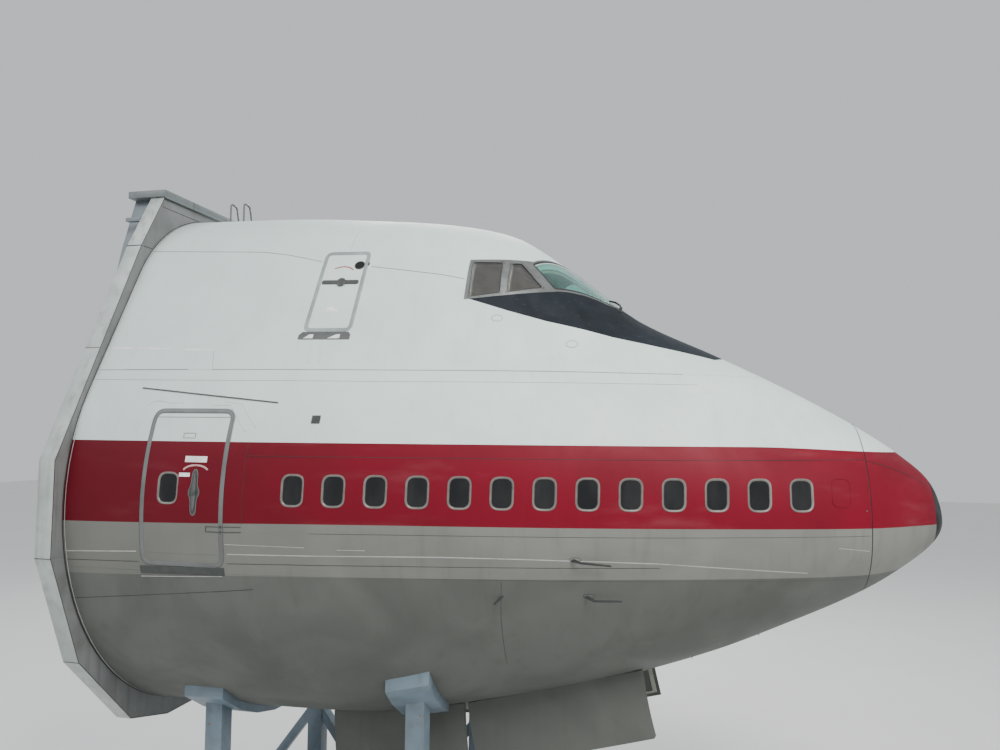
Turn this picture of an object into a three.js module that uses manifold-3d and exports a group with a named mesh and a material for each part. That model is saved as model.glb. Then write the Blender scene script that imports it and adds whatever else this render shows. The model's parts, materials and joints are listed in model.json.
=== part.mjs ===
// Nose section of a four-engined wide-body airliner, cut behind its first main door and
// kept at full size: it stands on its nose gear and on a steel cradle, and a polygonal
// weather collar closes the cut. Millimetres, +X to the nose, +Y to the aircraft's left,
// +Z up. The origin is on the floor, under the middle of the section.
//
// Airframe parts are drawn by station, measured aft from the nose tip, and by height above
// the belly's lowest line. The airframe group turns both into the frame above.

import * as THREE from 'three';
import { mergeVertices } from 'three/addons/utils/BufferGeometryUtils.js';
import Module from 'manifold-3d';

const wasm = await Module();
wasm.setup();

// Where the section stands
const noseTipX = 5930;
const bellyHeight = 2100;

// Play between pieces that touch, and how far joined shapes of one piece run into each other
const seat = 0.3;
const bite = 5;

// Fuselage sections. station: aft of the nose tip. belly, crown: lowest and highest point.
// halfWidth: half the breadth. widest: the height it is at. lobe: radius of the crown arc.
const sections = [
  { station: 0, belly: 3150, crown: 3150, halfWidth: 0, widest: 3150, lobe: 0 },
  { station: 40, belly: 2970, crown: 3405, halfWidth: 260, widest: 3135, lobe: 238 },
  { station: 150, belly: 2820, crown: 3660, halfWidth: 500, widest: 3140, lobe: 450 },
  { station: 500, belly: 2520, crown: 4000, halfWidth: 850, widest: 3130, lobe: 735 },
  { station: 1120, belly: 2130, crown: 4425, halfWidth: 1330, widest: 3070, lobe: 1180 },
  { station: 2000, belly: 1690, crown: 4925, halfWidth: 1690, widest: 3120, lobe: 1340 },
  { station: 3000, belly: 1240, crown: 5425, halfWidth: 2010, widest: 3190, lobe: 1490 },
  { station: 4000, belly: 885, crown: 5905, halfWidth: 2290, widest: 3235, lobe: 1615 },
  { station: 5000, belly: 605, crown: 6675, halfWidth: 2530, widest: 3260, lobe: 1710 },
  { station: 6000, belly: 365, crown: 7295, halfWidth: 2725, widest: 3265, lobe: 1790 },
  { station: 7000, belly: 165, crown: 7505, halfWidth: 2910, widest: 3270, lobe: 1870 },
  { station: 8000, belly: 30, crown: 7605, halfWidth: 3090, widest: 3270, lobe: 1950 },
  { station: 9500, belly: 5, crown: 7705, halfWidth: 3230, widest: 3265, lobe: 2070 },
  { station: 11230, belly: 0, crown: 7735, halfWidth: 3255, widest: 3260, lobe: 2185 },
];
const loftStations = [
  10, 40, 90, 175, 300, 500, 800, 1120, 1500, 2000, 2500, 3000, 3500, 4000, 4500, 5000, 5500,
  6000, 6600, 7400, 8500, 9800, 11230,
];
const bellySteps = 10;
const shoulderSteps = 3;
const crownSteps = 9;

// Where the shell is split: skin laps by height, frames by station
const lowerLap = 2476;
const upperLap = 5050;
const capEnd = 175;
const seamStation = 1120;
const seamGap = 6;
const cutStation = 11230;
const cabFront = 3950;
const cabRear = 7400;
const skinDepth = 100;

// Radome and what it covers
const radomeWall = 30;
const hingeKnuckle = { radius: 9, play: 0.6, halfLength: 150 };
const bulkhead = { thickness: 40, edge: 90 };
const antenna = { height: 3200, radius: 380, thickness: 50, station: 700, neck: 70 };

// Doors: front and rear edge by station, sill and head by height, corner radius, depth
const mainDoor = { front: 8935, rear: 10090, sill: 2551, head: 4534, corner: 150, depth: 90 };
const upperDoor = { front: 7735, rear: 8365, sill: 5612, head: 6775, corner: 120, depth: 70 };
const doorGap = 4;
const handle = { station: 9340, low: 3206, high: 3761, halfWidth: 35, proud: 22, root: 40 };

// Flight deck glass, by station and height for the side panes, by station and offset from
// the centreline for the windshield, which is cut straight down
const sidePanes = {
  front: [[5728, 6616], [5604, 6631], [5288, 6266], [5715, 6177]],
  rear: [[6229, 6624], [5845, 6628], [5819, 6166], [6220, 6107]],
};
const windshieldPlan = [[5440, 1061], [5000, 45], [4130, 45], [4490, 640], [4880, 1000], [5130, 1200]];
const pane = { outer: 20, inner: 50, corner: 35, play: 0.6 };

// Flight deck furniture
const panel = { front: 4450, rear: 4900, halfWidth: 1350, top: 5900 };
const glareshield = { front: 4300, rear: 5050, top: 5960 };
const centreConsole = { rear: 5900, halfWidth: 210, top: 5560 };
const cabinTrim = 15;
const seatPlace = { station: 6000, offset: 560 };

// A pilot's seat about its own foot: front and rear are reaches, foot and head are aft and up
const seatBase = { front: -120, rear: 120, halfWidth: 130, top: 330 };
const seatPan = { front: -280, rear: 230, halfWidth: 240, bottom: 320, top: 450 };
const seatBack = { foot: [-220, 0, 400], head: [-330, 0, 1080], width: 470, thickness: 130 };
const headrest = { foot: [-325, 0, 1050], head: [-345, 0, 1230], width: 280, thickness: 110 };

// Weather collar behind the cut, right half of its outline as offset and height
const collarOutline = [
  [1420, 7855], [1928, 6984], [2440, 5909], [3420, 3850], [3420, 2600], [2850, 1150],
  [1750, 60], [900, -150],
];
const closureOutline = [
  [1320, 7855], [1610, 6984], [1780, 6300], [2700, 4240], [2800, 3900], [2800, 2300],
  [2250, 1200], [1400, 400], [700, 150],
];
const collarDepth = 240;
const collarJoints = { upper: 6984, lower: 2600 };
const closureRear = 11830;
const coping = { front: 11200, rear: 11860, halfWidth: 1460, bottom: 7855, top: 7965 };
const grabRails = {
  stations: [10720, 10970], near: 0, shoulder: 205, foot: 285, height: 395, bend: 60, tube: 17, root: 20,
};
const footPlateSize = { edge: 60, bottom: 7600, top: 7770 };

// Wheel bay in the belly
const bay = { front: 3940, rear: 8520, halfWidth: 900, roof: 1900, frame: 100 };

// Nose gear, by station, offset and height above the belly line
const gear = { station: 7740, trail: 60, axle: 620 - bellyHeight, track: 910 };
const legTop = 1150;
const leg = { radius: 150, bottom: -620 };
const trunnion = { radius: 85 };
const sideStay = { topOffset: 700, topDrop: 20, footOffset: 60, footHeight: 250, radius: 48 };
const steerRam = { halfLength: 240, height: -470, radius: 62 };
const brace = { topForward: 1230, topHeight: 1360, footForward: 260, footHeight: -150, radius: 60 };
const braceShaft = { radius: 55 };
const braceLug = { radius: 180, halfHeight: 70, halfWidth: 70, eyeHalfHeight: 60, root: 40 };
const braceArm = { topOffset: 600, footForward: 720, footHeight: 620, radius: 40 };
const steerCollar = { radius: 172, height: 110 };
const piston = { radius: 95 };
const pistonFoot = { radius: 125, below: 60, above: 150 };
const axle = { radius: 55, end: 600, beamRadius: 100, beamHalf: 150 };
const link = { kneeForward: 430, kneeHeight: -1020, width: 190, thickness: 55, play: 1 };
const linkPin = { radius: 45, halfLength: 120 };
const linkEnds = { topForward: 194, topRise: 55, footForward: 155, footRise: 90 };
const rim = { width: 300, bore: 55.6, hubRadius: 110, dish: 70, lip: 40, hubInset: 30 };
const wheelSegments = 32;
const taxiLight = { height: -330, radius: 95, spacing: 250, depth: 90, rear: 60, forward: 240 };
const lampArm = { halfWidth: 220, halfHeight: 40, reach: 90 };
const lampBar = { rear: -222, front: -262, halfHeight: 30, overhang: 30 };

// Half a tyre's section: radius about the axle, and offset from the tyre's middle
const tyreProfile = [
  { radius: 262, offset: 150 }, { radius: 282, offset: 175 }, { radius: 430, offset: 215 },
  { radius: 530, offset: 203 }, { radius: 590, offset: 160 }, { radius: 620, offset: 120 },
];

// Gear doors: station range, reach of the inner edge from the centreline, angle they hang open at
const doorHinge = { knuckle: 14, play: 0.6, trim: 5, trimDrop: 60 };
const frontGearDoor = { front: 3972, rear: 6400, reach: 6, open: 82 };
const rearGearDoor = { front: 6462, rear: 8440, reach: 190, open: 84 };
const gearDoorDepth = 75;

// Cradle under the belly
const cradle = { offset: 1600, beam: 300, front: 5300, rear: 10700, crossStations: [5450, 9300, 10550] };
const trestle = { post: 260, padLength: 600, padDepth: 120, frontStation: 6900, rearStation: 9900 };
const frontPad = { inner: 1150, outer: 2050 };
const rearPadReach = 2000;
const kneeBrace = { rise: 1150, run: 900, thickness: 140 };

// Paint and materials
const paint = {
  white: [0xe8eae4, 0.45, 0.1], grey: [0x8f979b, 0.5, 0.2], red: [0xb3142b, 0.45, 0.1],
  cap: [0x2e3338, 0.6, 0.0], glass: [0x4f7f7c, 0.1, 0.0], steel: [0x9aa0a3, 0.4, 0.7],
  collar: [0x9ea09c, 0.6, 0.3], rubber: [0x1c1c1d, 0.9, 0.0], chrome: [0xd0d3d6, 0.15, 1.0],
  fabric: [0x8d6b4c, 0.9, 0.0], dark: [0x2b2d30, 0.8, 0.0], cradle: [0x6e7f8d, 0.5, 0.3],
};

// Smooth curve through a column of the sections table that never overshoots a row
function smoothColumn(column, place) {
  const at = sections.map((row) => Math.sqrt(row.station));
  const value = sections.map((row) => row[column]);
  const last = at.length - 1;
  const rise = at.slice(1).map((a, i) => (value[i + 1] - value[i]) / (a - at[i]));
  const slope = value.map((_, i) => {
    if (i === 0) return rise[0];
    if (i === last) return rise[last - 1];
    const [before, after] = [rise[i - 1], rise[i]];
    return before * after <= 0 ? 0 : (2 * before * after) / (before + after);
  });
  const x = Math.sqrt(place);
  let i = 0;
  while (i < last - 1 && x > at[i + 1]) i += 1;
  const span = at[i + 1] - at[i];
  const t = (x - at[i]) / span;
  const [a, b] = [(1 + 2 * t) * (1 - t) ** 2, t * (1 - t) ** 2];
  const [c, d] = [t * t * (3 - 2 * t), t * t * (t - 1)];
  return a * value[i] + b * span * slope[i] + c * value[i + 1] + d * span * slope[i + 1];
}

// One fuselage section as offset and height pairs, up the left side and down the right:
// a half ellipse below, a shoulder arc, a straight flank and the crown's arc
function ringAt(station, inset) {
  const row = {};
  for (const name of ['belly', 'crown', 'halfWidth', 'widest', 'lobe']) {
    row[name] = smoothColumn(name, station);
  }
  const lobeCentre = row.crown - row.lobe;
  const rise = Math.max(lobeCentre - row.widest, 1);
  const lean = Math.asin(Math.min((row.halfWidth - row.lobe) / rise, 0.98));
  const width = row.halfWidth - inset;
  const depth = row.widest - row.belly - inset;
  const crownRadius = row.lobe - inset;
  const side = [];
  for (let i = 0; i <= bellySteps; i += 1) {
    const a = (i / bellySteps) * (Math.PI / 2);
    side.push([width * Math.sin(a), row.widest - depth * Math.cos(a)]);
  }
  for (let i = 1; i <= shoulderSteps; i += 1) {
    const a = (i / shoulderSteps) * lean;
    side.push([width * Math.cos(a), row.widest + width * Math.sin(a)]);
  }
  for (let i = 0; i <= crownSteps; i += 1) {
    const a = lean + (i / crownSteps) * (Math.PI / 2 - lean);
    side.push([crownRadius * Math.cos(a), lobeCentre + crownRadius * Math.sin(a)]);
  }
  const other = side.slice(1, -1).reverse().map(([y, z]) => [-y, z]);
  side[0][0] = 0;
  side[side.length - 1][0] = 0;
  return [...side, ...other];
}

// Half the fuselage's breadth at a station and height
function halfBreadth(station, height) {
  const side = ringAt(station, 0).slice(0, bellySteps + shoulderSteps + crownSteps + 2);
  const i = side.findIndex(([, z]) => z >= height);
  const [[y0, z0], [y1, z1]] = [side[i - 1], side[i]];
  return y0 + ((height - z0) / (z1 - z0)) * (y1 - y0);
}

// Height of the belly skin at a station and offset
function bellyAt(station, offset) {
  const belly = smoothColumn('belly', station);
  const widest = smoothColumn('widest', station);
  const halfWidth = smoothColumn('halfWidth', station);
  return widest - (widest - belly) * Math.sqrt(1 - (offset / halfWidth) ** 2);
}

// Height of the crown skin at a station and offset
function crownAt(station, offset) {
  const lobe = smoothColumn('lobe', station);
  return smoothColumn('crown', station) - lobe + Math.sqrt(lobe ** 2 - offset ** 2);
}

// A closed three.js geometry as a solid that can be cut and joined
function solid(geometry) {
  geometry.deleteAttribute('normal');
  geometry.deleteAttribute('uv');
  const merged = mergeVertices(geometry, 1e-3);
  return new wasm.Manifold(new wasm.Mesh({
    numProp: 3,
    vertProperties: Float32Array.from(merged.attributes.position.array),
    triVerts: Uint32Array.from(merged.index.array),
  }));
}

// And back again
function geometryOf(shape) {
  const { vertProperties, triVerts } = shape.getMesh();
  const geometry = new THREE.BufferGeometry();
  geometry.setAttribute('position', new THREE.BufferAttribute(vertProperties, 3));
  geometry.setIndex(new THREE.BufferAttribute(triVerts, 1));
  geometry.computeVertexNormals();
  return geometry;
}

// The fuselage between two stations, its skin moved inwards by inset
function loft(from, to, inset) {
  const inner = loftStations.filter((s) => s > from + 1 && s < to - 1);
  const rings = [from, ...inner, to].map((s) => ({ x: -s, ring: ringAt(s, inset) }));
  const count = rings[0].ring.length;
  const tip = from === 0;
  const points = [];
  const faces = [];
  rings.forEach(({ x, ring }) => ring.forEach(([y, z]) => points.push(x, y, z)));
  const frontCentre = points.length / 3;
  const middle = (row) => (row.ring[0][1] + row.ring[bellySteps + shoulderSteps + crownSteps][1]) / 2;
  points.push(rings[0].x, 0, middle(rings[0]));
  points.push(rings.at(-1).x, 0, middle(rings.at(-1)));
  const lastRing = (rings.length - 1) * count;
  for (let k = 0; k < count; k += 1) {
    const next = (k + 1) % count;
    for (let r = 0; r < rings.length - 1; r += 1) {
      const [a, b] = [r * count, (r + 1) * count];
      if (!(tip && r === 0)) faces.push(a + k, b + k, a + next);
      faces.push(a + next, b + k, b + next);
    }
    if (!tip) faces.push(frontCentre, k, next);
    faces.push(frontCentre + 1, lastRing + next, lastRing + k);
  }
  const geometry = new THREE.BufferGeometry();
  geometry.setAttribute('position', new THREE.Float32BufferAttribute(points, 3));
  geometry.setIndex(faces);
  return solid(geometry);
}

// A box by its corners; stations count aft, so they give falling x
function block(stations, offsets, heights) {
  const [s0, s1] = stations;
  const [y0, y1] = offsets;
  const [z0, z1] = heights;
  const box = new THREE.BoxGeometry(s1 - s0, y1 - y0, z1 - z0);
  box.translate(-(s0 + s1) / 2, (y0 + y1) / 2, (z0 + z1) / 2);
  return solid(box);
}

// A straight round bar between two points
function bar(from, to, radius, sides = 16, endRadius = radius) {
  const [a, b] = [new THREE.Vector3(...from), new THREE.Vector3(...to)];
  const along = b.clone().sub(a);
  const rod = new THREE.CylinderGeometry(endRadius, radius, along.length(), sides);
  const turn = new THREE.Quaternion().setFromUnitVectors(new THREE.Vector3(0, 1, 0), along.normalize());
  rod.applyQuaternion(turn);
  rod.translate(...a.add(b).multiplyScalar(0.5).toArray());
  return solid(rod);
}

// A flat bar of rectangular section between two points of one offset
function plank(from, to, width, thickness) {
  const [x0, y, z0] = from;
  const [x1, , z1] = to;
  const length = Math.hypot(x1 - x0, z1 - z0);
  const box = new THREE.BoxGeometry(length, width, thickness);
  box.rotateY(-Math.atan2(z1 - z0, x1 - x0));
  box.translate((x0 + x1) / 2, y, (z0 + z1) / 2);
  return solid(box);
}

// A closed outline with rounded corners
function roundedShape(corners, radius) {
  const shape = new THREE.Shape();
  corners.forEach((corner, i) => {
    const here = new THREE.Vector2(...corner);
    const before = new THREE.Vector2(...corners.at(i - 1));
    const after = new THREE.Vector2(...corners[(i + 1) % corners.length]);
    const start = here.clone().add(before.sub(here).setLength(radius));
    const end = here.clone().add(after.sub(here).setLength(radius));
    if (i === 0) shape.moveTo(start.x, start.y);
    else shape.lineTo(start.x, start.y);
    shape.quadraticCurveTo(here.x, here.y, end.x, end.y);
  });
  shape.closePath();
  return shape;
}

// An outline in station and height, cut across the aircraft from one offset to another
function prismAcross(shape, offsets) {
  const geometry = new THREE.ExtrudeGeometry(shape, {
    depth: offsets[1] - offsets[0], bevelEnabled: false, curveSegments: 3,
  });
  geometry.rotateX(Math.PI / 2);
  geometry.translate(0, offsets[1], 0);
  return solid(geometry);
}

// An outline in station and offset, cut straight up
function prismUp(shape, heights) {
  const geometry = new THREE.ExtrudeGeometry(shape, {
    depth: heights[1] - heights[0], bevelEnabled: false, curveSegments: 3,
  });
  geometry.translate(0, 0, heights[0]);
  return solid(geometry);
}

// An outline in offset and height, extruded aft between two stations
function slab(outline, stations) {
  const points = [...outline, ...[...outline].reverse().map(([y, z]) => [-y, z])];
  const geometry = new THREE.ExtrudeGeometry(
    new THREE.Shape(points.map(([y, z]) => new THREE.Vector2(y, z))),
    { depth: stations[1] - stations[0], bevelEnabled: false },
  );
  geometry.rotateX(Math.PI / 2);
  geometry.rotateZ(Math.PI / 2);
  geometry.translate(-stations[0], 0, 0);
  const box = new THREE.Box3().setFromBufferAttribute(geometry.attributes.position);
  geometry.translate(-stations[0] - box.max.x, 0, 0);
  return solid(geometry);
}

// Corners drawn towards their middle, for a piece that sits in an opening with play
function shrunk(corners, play) {
  const middle = [0, 1].map((axis) => corners.reduce((sum, c) => sum + c[axis], 0) / corners.length);
  return corners.map((corner) => {
    const reach = Math.hypot(corner[0] - middle[0], corner[1] - middle[1]);
    return corner.map((value, axis) => middle[axis] + (value - middle[axis]) * (1 - play / reach));
  });
}

const asStation = ([station, other]) => [-station, other];
const far = 4000;

function mesh(name, shape, [color, roughness, metalness]) {
  const geometry = shape.isBufferGeometry ? shape : geometryOf(shape);
  const made = new THREE.Mesh(geometry, new THREE.MeshStandardMaterial({ color, roughness, metalness }));
  made.name = name;
  return made;
}

// Fuselage shell, doors and flight deck
const body = loft(seamStation, cutStation, 0);
const sides = [['right', -1], ['left', 1]];
const sideRange = (sign, inner) => (sign < 0 ? [-far, -inner] : [inner, far]);

function doorOutline({ front, rear, sill, head, corner }, gap) {
  const corners = [[front, sill], [rear, sill], [rear, head], [front, head]];
  const moved = corners.map(([s, z]) => [
    s + (s === front ? gap : -gap), z + (z === sill ? gap : -gap),
  ]);
  return roundedShape(moved.map(asStation), corner);
}

// Returns the recess in the shell and the plug door that fills it
function plugDoor(door, sign) {
  const range = sideRange(sign, 300);
  const reach = [door.front - 300, door.rear + 300];
  const skin = loft(...reach, 0);
  const recess = prismAcross(doorOutline(door, 0), range)
    .intersect(loft(...reach, -50).subtract(loft(...reach, door.depth)));
  const leaf = prismAcross(doorOutline(door, doorGap), range)
    .intersect(skin.subtract(loft(...reach, door.depth - seat)));
  return { recess, leaf };
}

function doorHandle(sign) {
  const { station, low, high, halfWidth, proud } = handle;
  const skin = Math.min(halfBreadth(station, low), halfBreadth(station, high));
  const offsets = [sign * (skin - handle.root), sign * (halfBreadth(station, (low + high) / 2) + proud)];
  return block([station - halfWidth, station + halfWidth], offsets.sort((a, b) => a - b), [low, high]);
}

const doors = [];
let mainShell = body.intersect(
  block([seamStation - 10, cutStation + 10], [-far, far], [lowerLap + seat / 2, upperLap - seat / 2]),
);
for (const [side, sign] of sides) {
  const { recess, leaf } = plugDoor(mainDoor, sign);
  mainShell = mainShell.subtract(recess);
  doors.push(mesh(`main_door_${side}`, leaf.add(doorHandle(sign)), paint.white));
}
const knuckleAt = { station: seamStation - seamGap / 2, height: smoothColumn('crown', seamStation) };
const knuckle = (radius, halfLength) => bar(
  [-knuckleAt.station, -halfLength, knuckleAt.height],
  [-knuckleAt.station, halfLength, knuckleAt.height], radius, 12,
);
mainShell = mainShell.subtract(
  knuckle(hingeKnuckle.radius + hingeKnuckle.play, hingeKnuckle.halfLength + 5),
);

const belly = (from, to) => body.intersect(
  block([from + seat / 2, to - seat / 2], [-far, far], [-far, lowerLap - seat / 2]),
);
const upper = (from, to) => body.intersect(
  block([from + seat / 2, to - seat / 2], [-far, far], [upperLap + seat / 2, 2 * far]),
);
const bayCut = block([bay.front, bay.rear], [-bay.halfWidth, bay.halfWidth], [-far, bay.roof]);
const upperDoorParts = plugDoor(upperDoor, -1);
doors.push(mesh('upper_deck_door', upperDoorParts.leaf, paint.white));

const cabin = loft(cabFront - 100, cabRear + 100, skinDepth);
const glassLayer = loft(cabFront, 6500, pane.outer).subtract(loft(cabFront, 6500, pane.inner));
let cab = upper(cabFront, cabRear).subtract(cabin);
const glass = [];
for (const [side, sign] of sides) {
  for (const [place, corners] of Object.entries(sidePanes)) {
    const cut = (play) => prismAcross(
      roundedShape(shrunk(corners, play).map(asStation), pane.corner), sideRange(sign, 500),
    );
    cab = cab.subtract(cut(0));
    glass.push(mesh(`side_window_${place}_${side}`, glassLayer.intersect(cut(pane.play)), paint.glass));
  }
  const plan = windshieldPlan.map(([station, offset]) => [station, sign * offset]);
  const cut = (play) => prismUp(
    roundedShape(shrunk(plan, play).map(asStation), pane.corner), [5500, 7500],
  );
  cab = cab.subtract(cut(0));
  glass.push(mesh(`windshield_${side}`, glassLayer.intersect(cut(pane.play)), paint.glass));
}

const shell = [
  mesh('belly_nose', belly(seamStation - 10, bay.front - bay.frame), paint.grey),
  mesh('gear_bay_section', belly(bay.front - bay.frame, bay.rear + bay.frame).subtract(bayCut), paint.grey),
  mesh('belly_aft', belly(bay.rear + bay.frame, cutStation + 10), paint.grey),
  mesh('main_deck_shell', mainShell, paint.white),
  mesh('upper_nose', upper(seamStation - 10, cabFront), paint.white),
  mesh('flight_deck_shell', cab, paint.white),
  mesh('upper_deck_aft', upper(cabRear, cutStation + 10).subtract(upperDoorParts.recess), paint.white),
];

// Instrument panel with glareshield and centre console, and the two pilots' seats
const floorLevel = upperLap + seat;
const dashboard = block([panel.front, panel.rear], [-panel.halfWidth, panel.halfWidth],
  [floorLevel, panel.top])
  .add(block([glareshield.front, glareshield.rear], [-far, far], [panel.top - bite, glareshield.top]))
  .add(block([panel.rear - bite, centreConsole.rear],
    [-centreConsole.halfWidth, centreConsole.halfWidth], [floorLevel, centreConsole.top]))
  .intersect(loft(cabFront, cabRear, skinDepth + cabinTrim));

function pilotSeat() {
  const box = ({ front, rear, halfWidth, bottom = 0, top }) => block(
    [front, rear], [-halfWidth, halfWidth], [bottom, top],
  );
  const board = ({ foot, head, width, thickness }) => plank(foot, head, width, thickness);
  return box(seatBase).add(box(seatPan)).add(board(seatBack)).add(board(headrest));
}
const furniture = [mesh('instrument_panel', dashboard, paint.dark)];
for (const [side, sign] of sides) {
  const chair = mesh(`pilot_seat_${side}`, pilotSeat(), paint.fabric);
  chair.position.set(-seatPlace.station, sign * seatPlace.offset, floorLevel);
  furniture.push(chair);
}

// Radome, nose cap, bulkhead and radar antenna
const radomeRear = seamStation - seamGap;
const radomeShell = loft(capEnd, radomeRear, 0)
  .subtract(loft(capEnd + radomeWall, radomeRear + 20, radomeWall))
  .add(knuckle(hingeKnuckle.radius, hingeKnuckle.halfLength));
const plate = loft(seamStation - bulkhead.thickness, seamStation - seat, bulkhead.edge);
const dish = bar([-antenna.station, 0, antenna.height],
  [-antenna.station - antenna.thickness, 0, antenna.height], antenna.radius, 28)
  .add(bar([-antenna.station - antenna.thickness + 5, 0, antenna.height],
    [-(seamStation - bulkhead.thickness - seat), 0, antenna.height], antenna.neck, 16, 150));
const nose = [
  mesh('radome', radomeShell, paint.red),
  mesh('nose_cap', loft(0, capEnd - seat, 0), paint.cap),
  mesh('radome_bulkhead', plate, paint.grey),
  mesh('radar_antenna', dish, paint.white),
];

// Weather collar, rear closure, coping and the crown's grab rails
const collarStations = [cutStation + seat, cutStation + collarDepth];
const collar = slab(collarOutline, collarStations);
const collarPart = (offsets, heights) => collar.intersect(
  block([cutStation, closureRear], offsets, heights),
);
const { upper: jointHigh, lower: jointLow } = collarJoints;
const split = seat / 2;
const rearParts = [
  mesh('collar_top', collarPart([-far, far], [jointHigh + split, 2 * far]), paint.collar),
  mesh('collar_right', collarPart([-far, -split], [jointLow + split, jointHigh - split]), paint.collar),
  mesh('collar_left', collarPart([split, far], [jointLow + split, jointHigh - split]), paint.collar),
  mesh('collar_bottom', collarPart([-far, far], [-far, jointLow - split]), paint.collar),
  mesh('rear_closure', slab(closureOutline, [cutStation + collarDepth + seat, closureRear]), paint.grey),
  mesh('coping', block([coping.front, coping.rear], [-coping.halfWidth, coping.halfWidth],
    [coping.bottom + seat, coping.top]), paint.collar),
];

function hoop(station) {
  const { near, shoulder, foot, bend } = grabRails;
  const low = Math.max(crownAt(station, near), crownAt(station, foot)) + grabRails.root;
  const top = crownAt(station, near) + grabRails.height;
  const across = (y, z) => new THREE.Vector3(-station, y, z);
  const lean = (foot - shoulder) * bend / (top - low);
  const path = new THREE.CurvePath();
  path.add(new THREE.LineCurve3(across(near, low), across(near, top - bend)));
  path.add(new THREE.QuadraticBezierCurve3(across(near, top - bend), across(near, top),
    across(near + bend, top)));
  path.add(new THREE.LineCurve3(across(near + bend, top), across(shoulder - bend, top)));
  path.add(new THREE.QuadraticBezierCurve3(across(shoulder - bend, top), across(shoulder, top),
    across(shoulder + lean, top - bend)));
  path.add(new THREE.LineCurve3(across(shoulder + lean, top - bend), across(foot, low)));
  const section = new THREE.Shape().absarc(0, 0, grabRails.tube, 0, Math.PI * 2, true);
  return solid(new THREE.ExtrudeGeometry(section, { steps: 28, curveSegments: 4, extrudePath: path }));
}
const [rearRail, frontRail] = [Math.max(...grabRails.stations), Math.min(...grabRails.stations)];
const footPlate = block([frontRail - footPlateSize.edge, rearRail + footPlateSize.edge],
  [grabRails.near - footPlateSize.edge, grabRails.foot + footPlateSize.edge],
  [footPlateSize.bottom, footPlateSize.top])
  .subtract(loft(frontRail - 200, rearRail + 200, -seat));
rearParts.push(mesh('crown_grab_rails',
  grabRails.stations.reduce((all, station) => all.add(hoop(station)), footPlate), paint.steel));

// Nose gear
const wallSeat = bay.halfWidth - seat;
const stayBar = (sign) => bar([0, sign * sideStay.topOffset, legTop - sideStay.topDrop],
  [0, sign * sideStay.footOffset, sideStay.footHeight], sideStay.radius, 10);
const legShape = bar([0, 0, leg.bottom], [0, 0, legTop], leg.radius, 24)
  .add(bar([0, -wallSeat, legTop], [0, wallSeat, legTop], trunnion.radius, 16))
  .add(stayBar(-1))
  .add(stayBar(1))
  .add(bar([0, 0, brace.footHeight - braceLug.halfHeight],
    [0, 0, brace.footHeight + braceLug.halfHeight], braceLug.radius, 24))
  .add(bar([0, -steerRam.halfLength, steerRam.height], [0, steerRam.halfLength, steerRam.height],
    steerRam.radius, 12));
const braceArmBar = (sign) => bar([brace.topForward, sign * braceArm.topOffset, brace.topHeight],
  [braceArm.footForward, 0, braceArm.footHeight], braceArm.radius, 8);
const braceShape = bar([brace.footForward, 0, brace.footHeight],
  [brace.topForward, 0, brace.topHeight], brace.radius, 12)
  .add(bar([brace.topForward, -wallSeat, brace.topHeight],
    [brace.topForward, wallSeat, brace.topHeight], braceShaft.radius, 12))
  .add(braceArmBar(-1))
  .add(braceArmBar(1))
  .add(block([-brace.footForward - braceLug.root, -(braceLug.radius + seat)],
    [-braceLug.halfWidth, braceLug.halfWidth],
    [brace.footHeight - braceLug.eyeHalfHeight, brace.footHeight + braceLug.eyeHalfHeight]));
const steerTop = leg.bottom - seat;
const steerFoot = steerTop - steerCollar.height;
const axleAt = { x: -gear.trail, z: gear.axle };
const acrossAxle = (halfLength, radius, segments) => bar([axleAt.x, -halfLength, axleAt.z],
  [axleAt.x, halfLength, axleAt.z], radius, segments);
const pistonShape = bar([0, 0, steerFoot], [0, 0, steerTop], steerCollar.radius, 24)
  .add(bar([0, 0, gear.axle + 20], [0, 0, steerFoot + bite], piston.radius, 20))
  .add(bar([0, 0, gear.axle - pistonFoot.below], [0, 0, gear.axle + pistonFoot.above],
    pistonFoot.radius, 20))
  .add(acrossAxle(axle.end, axle.radius, 24))
  .add(acrossAxle(axle.beamHalf, axle.beamRadius, 16));
const knee = [link.kneeForward, 0, link.kneeHeight];
const linksShape = plank([linkEnds.topForward, 0, steerFoot + linkEnds.topRise], knee,
  link.width, link.thickness)
  .add(plank(knee, [linkEnds.footForward, 0, gear.axle + linkEnds.footRise], link.width,
    link.thickness))
  .add(bar([knee[0], -linkPin.halfLength, knee[2]], [knee[0], linkPin.halfLength, knee[2]],
    linkPin.radius, 12))
  .subtract(bar([0, 0, -far], [0, 0, far], pistonFoot.radius + link.play, 20))
  .subtract(bar([0, 0, steerFoot - seat], [0, 0, steerTop], steerCollar.radius + seat, 24));
const lampAt = (sign, forward) => [forward, sign * taxiLight.spacing, taxiLight.height];
const lamp = (sign) => bar(lampAt(sign, taxiLight.forward),
  lampAt(sign, taxiLight.forward + taxiLight.depth), taxiLight.rear, 16, taxiLight.radius);
const lampsShape = block([-leg.radius - lampArm.reach, -leg.radius - seat],
  [-lampArm.halfWidth, lampArm.halfWidth],
  [taxiLight.height - lampArm.halfHeight, taxiLight.height + lampArm.halfHeight])
  .add(lamp(-1))
  .add(lamp(1))
  .add(block([lampBar.front, lampBar.rear],
    [-taxiLight.spacing - lampBar.overhang, taxiLight.spacing + lampBar.overhang],
    [taxiLight.height - lampBar.halfHeight, taxiLight.height + lampBar.halfHeight]));

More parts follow.
